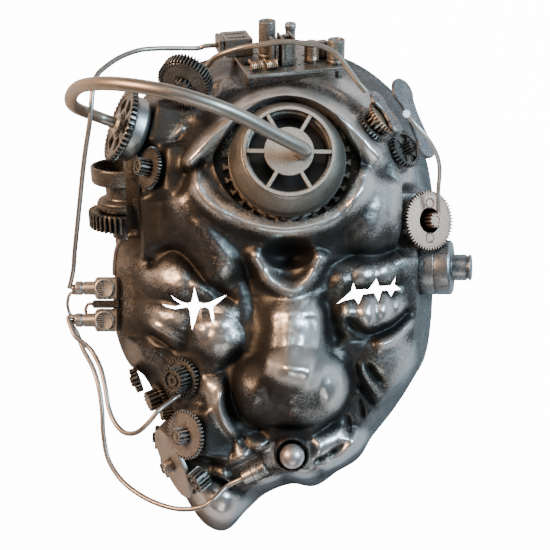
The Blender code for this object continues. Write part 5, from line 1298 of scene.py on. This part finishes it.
arch_route = [
    (-31.5, 98.0, 33.0), (-27.0, 100.0, 42.0), (-16.7, 102.3, 48.0), (-6.7, 103.5, 50.5), (3.0, 104.5, 51.5),
    (12.8, 104.0, 51.5), (20.0, 103.0, 51.0), (27.4, 99.5, 50.5), (32.4, 93.5, 50.0), (37.0, 87.0, 50.0),
    (41.0, 82.5, 49.5),
]
add_piece(
    "arch_tube_over_board", PIPE_METAL, "bronze_grey", ["arch_tube"],
    (np.eye(4), tube(smooth_path(arch_route, 8), 1.25, 16)),
)


# The wheels and covers of the upper right
# Two dog-bone cover plates from a clock's train, with toothed wheels between and under them.

COVER_SILVER = rubbed_paint_and_shade(
    "cover_silver", (0.012, 0.012, 0.013), (0.19, 0.19, 0.19), (0.60, 0.61, 0.62), 0.88, 1100.0, 0.42, 0.003,
)


def bone_outline(length, first, second, waist):
    """Two round lobes joined by a narrower waist whose edges bow inwards."""
    left = np.radians(np.linspace(50.0, 310.0, 28))
    right = np.radians(np.linspace(-130.0, 130.0, 28))
    share = np.linspace(0.0, 1.0, 9)[1:-1]
    start = np.array((first * math.cos(left[-1]), first * math.sin(left[-1])))
    end = np.array((length + second * math.cos(right[0]), second * math.sin(right[0])))
    lower = start + (end - start) * share[:, None]
    lower[:, 1] += (-waist - lower[:, 1]) * np.sin(np.pi * share)
    upper = lower[::-1] * (1.0, -1.0)
    lobes = [np.stack([first * np.cos(left), first * np.sin(left)], axis=1)]
    lobes += [lower, np.stack([length + second * np.cos(right), second * np.sin(right)], axis=1), upper]
    return np.vstack(lobes)


def dome_cap(radius, height, base):
    """A shallow dome: the height falls with the square of the radius."""
    r = np.linspace(radius, 0.0, 7)
    return np.column_stack([np.append(0.0, r), np.append(base, base + height * (1.0 - (r / radius) ** 2))])


front = rest(seat(*PADS["link_front"][:3]), 9.3)
plain_rings = [(7.0, 2.3, 0), (6.8, 2.0, 0), (0.0, 2.0, 0)]
add_piece(
    "front_link_wheel", GEAR_SILVER, "dark_steel", ["link_gear_front"],
    (front, wheel(9.3, 8.1, 32, 0.8, 2.3, plain_rings, 0.15)),
    (front, wheel(6.0, 4.7, 16, 2.0, 6.5, [(3.2, 6.5, 0), (0.0, 6.5, 0)], 0.15)),
    (front, turned([(0.0, -3.0), (3.2, -3.0), (3.2, 1.0), (0.0, 1.0)], 20)),
)
add_piece(
    "middle_link_wheel", BRASS_WIRE, "copper_wash", ["link_gear_middle"],
    (front, wheel(8.7, 7.6, 32, 6.8, 8.4, [(6.9, 8.4, 0), (6.7, 8.1, 0), (0.0, 8.1, 0)], 0.15)),
)
front_cover = offset(front, x=-7.5)
add_piece(
    "front_bone_cover", COVER_SILVER, "antique_silver", ["link_cover_front"],
    (front_cover, plate(bone_outline(14.0, 4.7, 3.9, 2.3), 8.7, 10.4, 0.35)),
    (front_cover, turned(dome_cap(3.7, 0.9, 10.0), 32)),
    (offset(front_cover, x=14.0), turned(dome_cap(2.0, 0.8, 10.0), 24)),
)
back = rest(seat(*PADS["link_back"][:3]), 9.0)
add_piece(
    "back_link_wheel", GEAR_SILVER, "dark_steel", ["link_gear_back"],
    (back, wheel(9.0, 7.9, 30, 0.8, 3.0, [(7.0, 3.0, 0), (6.8, 2.6, 0), (6.4, 2.6, 1), (3.4, 2.6, 1),
        (3.2, 2.6, 0), (0.0, 2.6, 0)], 0.15, windows=5, dip=0.8)),
    (back, turned([(0.0, -3.0), (3.1, -3.0), (3.1, 1.0), (0.0, 1.0)], 20)),
    (back, wheel(3.0, 2.2, 12, 2.6, 7.0, [(1.6, 7.0, 0), (0.0, 7.0, 0)], 0.15)),
)
back_cover = offset(back, x=-24.0, y=4.0)
add_piece(
    "back_bone_cover", COVER_SILVER, "antique_silver", ["link_cover_back"],
    (back_cover, plate(bone_outline(27.0, 6.8, 5.6, 4.0), 9.0, 10.9, 0.4)),
    (back_cover, turned(dome_cap(5.2, 0.5, 10.7), 32)),
    (offset(back_cover, x=27.0), turned(dome_cap(3.0, 0.4, 10.7), 24)),
)


# The copper wheel, the stepped knob and the lead between
# A copper-washed clock wheel glued to the right cheek bone, the knob of an old radio below it,
# and a stiff wire that runs from the covers to the wheel's pinion.

COPPER_METAL = rubbed_paint_and_shade(
    "copper_metal", (0.03, 0.016, 0.01), (0.44, 0.29, 0.21), (0.80, 0.60, 0.48), 0.85, 1200.0, 0.45, 0.0025,
)
KNOB_SILVER = rubbed_paint_and_shade(
    "knob_silver", (0.012, 0.012, 0.013), (0.22, 0.22, 0.215), (0.62, 0.62, 0.61), 0.88, 1000.0, 0.42, 0.004,
)
WIRE_SILVER = rubbed_paint_and_shade(
    "wire_silver", (0.05, 0.04, 0.035), (0.45, 0.41, 0.36), (0.82, 0.78, 0.72), 0.9, 1500.0, 0.5, 0.002,
    0.00002,
)
LEAD_RADIUS = 1.15

copper = rest(seat(*PADS["copper"][:3]), 13.9)
copper_rings = [(12.2, 3.0, 0), (12.0, 2.8, 0), (0.0, 2.8, 0)]
ring_mark = [(1.9, 2.8), (2.2, 3.15), (2.5, 2.8)]
add_piece(
    "copper_wheel", COPPER_METAL, "copper_wash", ["copper_gear"],
    (copper, wheel(13.9, 12.7, 54, 1.0, 3.0, copper_rings, 0.15)),
    (copper, turned([(0.0, -3.0), (4.8, -3.0), (4.8, 1.2), (0.0, 1.2)], 24)),
    (copper, wheel(3.6, 2.7, 12, 2.8, 7.5, [(2.0, 7.5, 0), (1.8, 7.0, 0), (0.0, 7.0, 0)], 0.15)),
    (offset(copper, x=8.0), turned(ring_mark, 24)), (offset(copper, x=-8.0), turned(ring_mark, 24)),
)
bolt = rest(seat(*PADS["bolt"][:3]), 13.0)
knob_profile = [
    (0.0, -2.0), (13.0, -2.0), (13.0, 5.6), (12.75, 5.75), (12.75, 6.05), (13.0, 6.2), (13.0, 12.4),
    (12.2, 13.4),
    (6.6, 13.4), (6.2, 13.8), (6.2, 20.0), (5.5, 20.3), (5.5, 21.0), (6.2, 21.3), (6.2, 22.0), (5.7, 22.4),
    (0.0, 22.4),
]
seam = block((-0.2, -13.25, 0.0), (0.2, -12.6, 12.6), 0.05)
seam_turns = [
    offset(bolt) @ np.array([[math.cos(a), -math.sin(a), 0, 0], [math.sin(a), math.cos(a), 0, 0],
        [0, 0, 1, 0], [0, 0, 0, 1]]) for a in (1.2, 1.9, 2.6)
]
add_piece(
    "stepped_knob", KNOB_SILVER, "antique_silver", ["side_bolt"],
    (bolt, turned(softened(knob_profile, 0.3), 72)), *[(place, seam) for place in seam_turns],
)


def star_disc():
    """A ten-pointed flat star: the radius swings between two values."""
    turn = np.linspace(0.0, 2.0 * np.pi, 20, endpoint=False)
    radius = np.where(np.arange(20) % 2 == 0, 2.2, 1.5)
    return plate(np.stack([radius * np.cos(turn), radius * np.sin(turn)], axis=1), -0.6, 0.5, 0.1)


side_route = [
    (57.5, 70.5, 60.5), (61.5, 66.0, 60.5), (66.3, 61.5, 58.5), (70.6, 56.3, 55.0), (73.4, 51.0, 51.5),
    (74.4, 45.5, 48.0), (74.4, 40.0, 45.0), (74.6, 34.0, 43.5), (75.0, 29.0, 41.5),
]
add_piece(
    "side_wire", WIRE_SILVER, "bright_silver", ["side_lead"],
    (np.eye(4), tube(smooth_path(side_route, 8), LEAD_RADIUS - 0.15, 14)),
    (seat((57.5, 70.5, 61.4), (0.2, 0.1, 0.97)), star_disc()),
)


# The two plugs on the left side
# Two wire plugs, each a square body with a round combed mouth and a barrel that points out
# sideways, screwed to a bracket; short wires join them to each other and to the spool.

PLUG_SILVER = rubbed_paint_and_shade(
    "plug_silver", (0.01, 0.009, 0.008), (0.34, 0.315, 0.28), (0.78, 0.73, 0.65), 0.85, 1200.0, 0.48, 0.003,
)
PLUG_SPACING = 15.4
BARREL_RADIUS = 3.4

plugs = rest(seat(*PADS["plugs"][:3]), 13.0)


def comb_mouth():
    """A sunk round mouth with six short prongs standing in it."""
    ring = [(4.6, 0.0), (4.6, 0.7), (4.0, 0.9), (3.7, 0.7), (3.7, 0.05), (0.0, 0.05)]
    parts = [(np.eye(4), turned(softened(ring, 0.12), 40))]
    for k in range(6):
        x = -2.5 + k
        parts.append((np.eye(4), block((x - 0.28, 0.6, 0.0), (x + 0.28, 3.4, 0.75), 0.08)))
    return gather(*parts)


barrel_profile = [
    (0.0, 9.0), (BARREL_RADIUS + 0.2, 9.0), (BARREL_RADIUS + 0.2, 10.4), (BARREL_RADIUS - 0.1, 10.7),
    (BARREL_RADIUS - 0.1, 15.2), (BARREL_RADIUS - 0.5, 15.5), (BARREL_RADIUS - 0.5, 16.1),
    (BARREL_RADIUS, 16.4),
    (BARREL_RADIUS, 19.0), (BARREL_RADIUS - 0.5, 19.5), (0.0, 19.5),
]
ball_end = [(0.0, 19.2), (1.2, 19.4), (1.9, 20.2), (1.7, 21.0), (1.0, 21.6), (0.0, 21.8)]
for plug_name, node, side in (("upper_plug", "plug_upper", 0.5), ("lower_plug", "plug_lower", -0.5)):
    plug = offset(plugs, x=side * PLUG_SPACING)
    mouth = seat(placed(plug, [(0.0, -4.6, 4.9)])[0], -plug[:3, 1], plug[:3, 0])
    ends = [(plug, turned(softened(ball_end, 0.2), 24))] if side > 0 else []
    add_piece(
        plug_name, PLUG_SILVER, "bronze_grey", [node],
        (plug, block((-5.4, -4.5, -2.0), (5.4, 4.5, 9.7), 1.1)), (mouth, comb_mouth()),
        (plug, turned(softened(barrel_profile, 0.2), 40)), *ends,
    )
add_piece(
    "plug_bracket_plate", DARK_METAL, "dark_steel", ["plug_bracket"],
    (plugs, block((-1.9, -3.0, -2.0), (1.9, 3.0, 10.8), 0.3)),
    (offset(plugs, y=0.0, z=10.6), turned([(0.0, 0.0), (1.3, 0.0), (1.1, 0.7), (0.0, 0.7)], 16)),
)


# The mouth jack, the pearl and its cup
# A phone jack lies along the upper lip and takes the long wire; beside it a pearly ball sits
# in a dark metal cup under the nose.

PEARL = rubbed_paint_and_shade(
    "pearl_metal", (0.05, 0.045, 0.045), (0.50, 0.46, 0.44), (0.80, 0.76, 0.74), 0.85, 500.0, 0.5, 0.003,
    0.00001,
)

mouth_cup = rest(seat(*PADS["mouth_cup"][:3]), 8.0)
cup_wall = [
    (0.0, -3.0), (7.3, -3.0), (8.0, 1.2), (8.1, 5.2), (7.7, 6.0), (7.1, 5.9), (6.7, 5.2), (6.4, 1.6),
    (0.0, 1.4),
]
add_piece(
    "pearl_cup", DARK_METAL, "antique_silver", ["mouth_cup"],
    (mouth_cup, turned(softened(cup_wall, 0.25), 64)),
)
arc = np.linspace(0.0, np.pi, 33)
ball_radius = 5.5
ball = np.column_stack([ball_radius * np.sin(arc), 1.4 + GAP + ball_radius * (1.0 - np.cos(arc))])
add_piece("pearl_ball", PEARL, "bright_silver", ["mouth_ball"], (mouth_cup, turned(ball, 48)))
jack_bed = rest(seat(*PADS["mouth_jack"][:3]), 6.0)
jack = seat(offset(jack_bed, x=-6.5, z=3.9)[:3, 3], jack_bed[:3, 0], PADS["mouth_jack"][1])
jack_profile = [
    (0.0, 0.0), (2.2, 0.0), (3.0, 0.7), (3.0, 5.2), (3.3, 5.5), (3.45, 5.8), (3.45, 8.2), (3.2, 8.4),
    (0.0, 8.4),
]
add_piece(
    "phone_jack", CUP_SILVER, "bright_silver", ["mouth_jack"],
    (jack, turned(softened(jack_profile, 0.2), 40)),
    (jack, wheel(3.5, 3.1, 26, 8.3, 11.0, [(2.7, 11.0, 0), (2.4, 10.6, 0), (0.0, 10.6, 0)], 0.1)),
    (jack, turned(softened([(0.0, 10.9), (3.3, 10.9), (3.3, 11.6), (2.6, 12.2), (1.6, 12.2), (1.5, 11.4),
        (0.0, 11.4)], 0.15), 40)),
)


# The wheels of the left cheek
# Clock wheels glued on a dark patch: two spur wheels with pinions, a large plain disc with a
# boss, a star pinion, a small roller, and four thick wheels set on edge along the jaw.

cheek = rest(seat(*PADS["cheek_upper"][:3]), 9.4)
upper_rings = [(7.8, 2.4, 0), (7.6, 2.0, 0), (0.0, 2.0, 0)]
star_top = [
    (4.2, 8.6, 0), (4.0, 7.6, 0), (2.7, 7.6, 0), (2.5, 8.3, 0), (1.4, 8.3, 0), (1.2, 7.5, 0), (0.0, 7.5, 0),
]
add_piece(
    "upper_cheek_wheel", GEAR_SILVER, "antique_silver", ["cheek_gear_upper"],
    (cheek, wheel(9.4, 8.0, 30, 0.6, 2.4, upper_rings, 0.15)),
    (cheek, wheel(6.0, 4.8, 20, 1.8, 8.6, star_top, 0.15)),
    (cheek, turned([(0.0, -3.0), (3.2, -3.0), (3.2, 0.9), (0.0, 0.9)], 20)),
)
bed = rest(seat(*PADS["cheek_disc"][:3]), DISC_RADIUS)
disc_profile = [
    (0.0, 0.0), (DISC_RADIUS, 0.0), (DISC_RADIUS, 1.7), (17.2, 2.0), (15.8, 2.0), (15.6, 1.8), (0.0, 1.8),
]
add_piece(
    "cheek_plain_disc", DISC_GREY, "dark_steel", ["cheek_disc"],
    (bed, turned(softened(disc_profile, 0.2), 96)),
)
boss = [
    (0.0, 1.6), (3.2, 1.6), (3.2, 5.6), (2.8, 6.0), (2.0, 6.1), (1.8, 5.6), (1.1, 5.6), (1.0, 6.0),
    (0.0, 6.0),
]
add_piece("cheek_boss", DISC_GREY, "bronze_grey", ["cheek_hub"], (bed, turned(softened(boss, 0.15), 32)))
lower = rest(seat(*PADS["cheek_lower"][:3]), 11.2)
lower_rings = [(9.6, 5.2, 0), (9.4, 5.0, 0), (0.0, 5.0, 0)]
lower_top = [(2.5, 10.8, 0), (2.3, 10.2, 0), (1.2, 10.2, 0), (1.0, 10.6, 0), (0.0, 10.6, 0)]
add_piece(
    "lower_cheek_wheel", DISC_GREY, "antique_silver", ["cheek_gear_lower"],
    (lower, wheel(11.2, 9.8, 40, 3.4, 5.2, lower_rings, 0.15)),
    (lower, wheel(3.8, 2.8, 12, 4.8, 10.8, lower_top, 0.15)),
    (lower, turned([(0.0, -3.0), (3.9, -3.0), (3.9, 3.6), (0.0, 3.6)], 20)),
)
star = rest(seat((-26.6, -86.6, 41.0), (-0.68, -0.5, 0.547), (0.0, 1.0, 0.0)), 5.2)
star_rings = [
    (3.6, 6.4, 0), (3.4, 5.6, 0), (2.5, 5.6, 0), (2.3, 6.3, 0), (1.4, 6.3, 0), (1.2, 5.4, 0), (0.0, 5.4, 0),
]
add_piece(
    "star_pinion", GEAR_SILVER, "antique_silver", ["cheek_pinion"],
    (star, wheel(5.2, 3.9, 16, 0.0, 6.4, star_rings, 0.15)),
)
roller = rest(seat((-52.5, -66.2, 26.0), (-0.90, -0.1, 0.42), (0.0, 1.0, 0.0)), 3.0)
add_piece(
    "cheek_small_roller", GEAR_SILVER, "dark_steel", ["cheek_roller"],
    (roller, wheel(2.8, 2.0, 11, 0.0, 6.0, [(1.2, 6.0, 0), (1.0, 5.6, 0), (0.0, 5.6, 0)], 0.12)),
)
JAW_WHEELS = [
    ((-66.0, -51.0, 7.0), (-0.93, -0.35, 0.12), 6.2, 18, 3.6, 2.6, 1.2),
    ((-58.5, -60.4, 15.0), (-0.85, -0.32, 0.42), 7.0, 24, 1.6, 5.0, 5.6),
    ((-55.0, -80.4, 6.4), (-0.99, 0.02, 0.12), 5.8, 16, 5.6, 2.6, 1.2),
    ((-52.0, -94.5, 5.8), (-0.93, -0.35, 0.05), 5.2, 15, 4.6, 2.6, 1.2),
]
for number, (middle, normal, radius, teeth, thick, pinion, length) in enumerate(JAW_WHEELS, start=1):
    place = rest(seat(middle, normal, (0.0, 1.0, 0.0)), radius)
    flat = [(radius - 1.8, thick, 0), (radius - 2.0, thick - 0.4, 0), (0.0, thick - 0.4, 0)]
    end = thick + length
    add_piece(
        f"jaw_wheel_{number}", GEAR_SILVER, "dark_steel", [f"edge_gear_{number}"],
        (place, wheel(radius, radius - 1.1, teeth, 0.0, thick, flat, 0.12)),
        (place, wheel(pinion, pinion * 0.78, 14, thick - 0.5, end, [(pinion * 0.5, end, 0), (0.0, end, 0)],
            0.12)),
    )


# The wires of the left side
# Stiff rubber-covered wires, sprayed with the mask: one rises from the upper plug over the
# temple to the board's socket, two loop down from the lower plug, and short ones join fittings.

WIRE_BRONZE = rubbed_paint_and_shade(
    "wire_bronze", (0.04, 0.032, 0.026), (0.30, 0.265, 0.225), (0.70, 0.64, 0.57), 0.88, 1500.0, 0.5, 0.002,
    0.00002,
)


def add_wire(name, node, route, radius, per_span=8):
    """A round wire along a smooth curve through the route's points."""
    return add_piece(
        name, WIRE_BRONZE, "bronze_grey", [node], (np.eye(4), tube(smooth_path(route, per_span), radius, 14)),
    )


low_plug = PLUG_SPACING / 2.0
crown_route = np.vstack([
    placed(board, [(-30.9, 8.5, PLATE_TOP + GAP + 4.0), (-37.0, 8.5, PLATE_TOP + GAP + 4.0)]),
    [(-36.5, 107.5, 27.0), (-45.0, 106.5, 31.0), (-54.0, 105.5, 35.0), (-62.5, 103.5, 40.0),
        (-70.0, 98.5, 48.0)],
    [(-75.5, 92.5, 55.0), (-78.4, 87.5, 60.0), (-79.6, 80.5, 63.0), (-80.9, 68.0, 62.0), (-84.9, 51.0, 55.0)],
    [(-89.4, 30.0, 44.0), (-94.0, 12.0, 31.0), (-96.4, 2.0, 23.5)],
    placed(plugs, [(low_plug, 0.0, 21.4 + LEAD_RADIUS)]),
])
add_wire("crown_wire", "crown_lead", crown_route, LEAD_RADIUS)
cheek_route = np.vstack([
    placed(plugs, [(-low_plug + 1.3, -1.6, 19.2), (-low_plug + 1.3, -1.6, 22.6)]),
    [(-97.0, -25.5, 24.5), (-94.5, -29.5, 26.0), (-87.5, -35.2, 27.0), (-82.0, -43.0, 32.0),
        (-79.0, -51.6, 36.0)],
    [(-76.8, -61.0, 39.0), (-73.5, -67.5, 42.0), (-68.6, -71.4, 46.0), (-62.7, -71.0, 50.0),
        (-57.0, -66.5, 53.5)],
    [(-52.2, -60.8, 53.5)], placed(cheek, [(-9.05, 1.4, 7.4), (-7.45, 0.0, 4.2)]),
])
add_wire("cheek_wire", "cheek_lead", cheek_route, LEAD_RADIUS)
mouth_route = np.vstack([
    placed(plugs, [(-low_plug - 1.3, 1.6, 19.2), (-low_plug - 1.3, 1.6, 22.6)]),
    [(-95.8, -28.0, 17.8), (-92.5, -35.5, 20.0), (-87.5, -44.0, 22.0), (-84.0, -53.0, 25.0),
        (-82.0, -64.0, 27.0)],
    [(-81.2, -75.0, 28.0), (-78.8, -86.6, 29.0), (-72.5, -95.5, 32.0), (-64.0, -101.0, 37.0),
        (-54.5, -104.5, 42.0)],
    [(-44.0, -106.0, 47.0), (-34.1, -104.5, 51.0), (-28.0, -101.0, 52.5)],
    placed(jack, [(0.0, 0.0, -8.0), (0.0, 0.0, 0.3)]),
])
add_wire("mouth_wire", "mouth_lead", mouth_route, LEAD_RADIUS)
add_wire(
    "spool_wire", "spool_lead", [(-73.0, 18.0, 25.0), (-75.8, 12.0, 23.5), (-77.0, 5.0, 22.0),
        (-77.2, 0.0, 20.6)], 1.0,
)
outer_jumper = [(5.1, 0.0, 19.2), (5.1, 0.0, 22.2), (0.0, 0.6, 23.6), (-5.4, 1.7, 22.2), (-5.4, 1.7, 19.2)]
add_wire("outer_jumper_wire", "jumper_outer", placed(plugs, outer_jumper), 0.8)
inner_jumper = [(0.0, 0.0, 10.6), (0.0, 0.0, 13.4), (-2.6, 4.6, 15.6), (-4.4, 5.2, 15.6), (-6.2, 3.0, 15.6)]
add_wire("inner_jumper_wire", "jumper_inner", placed(plugs, inner_jumper), 0.8)
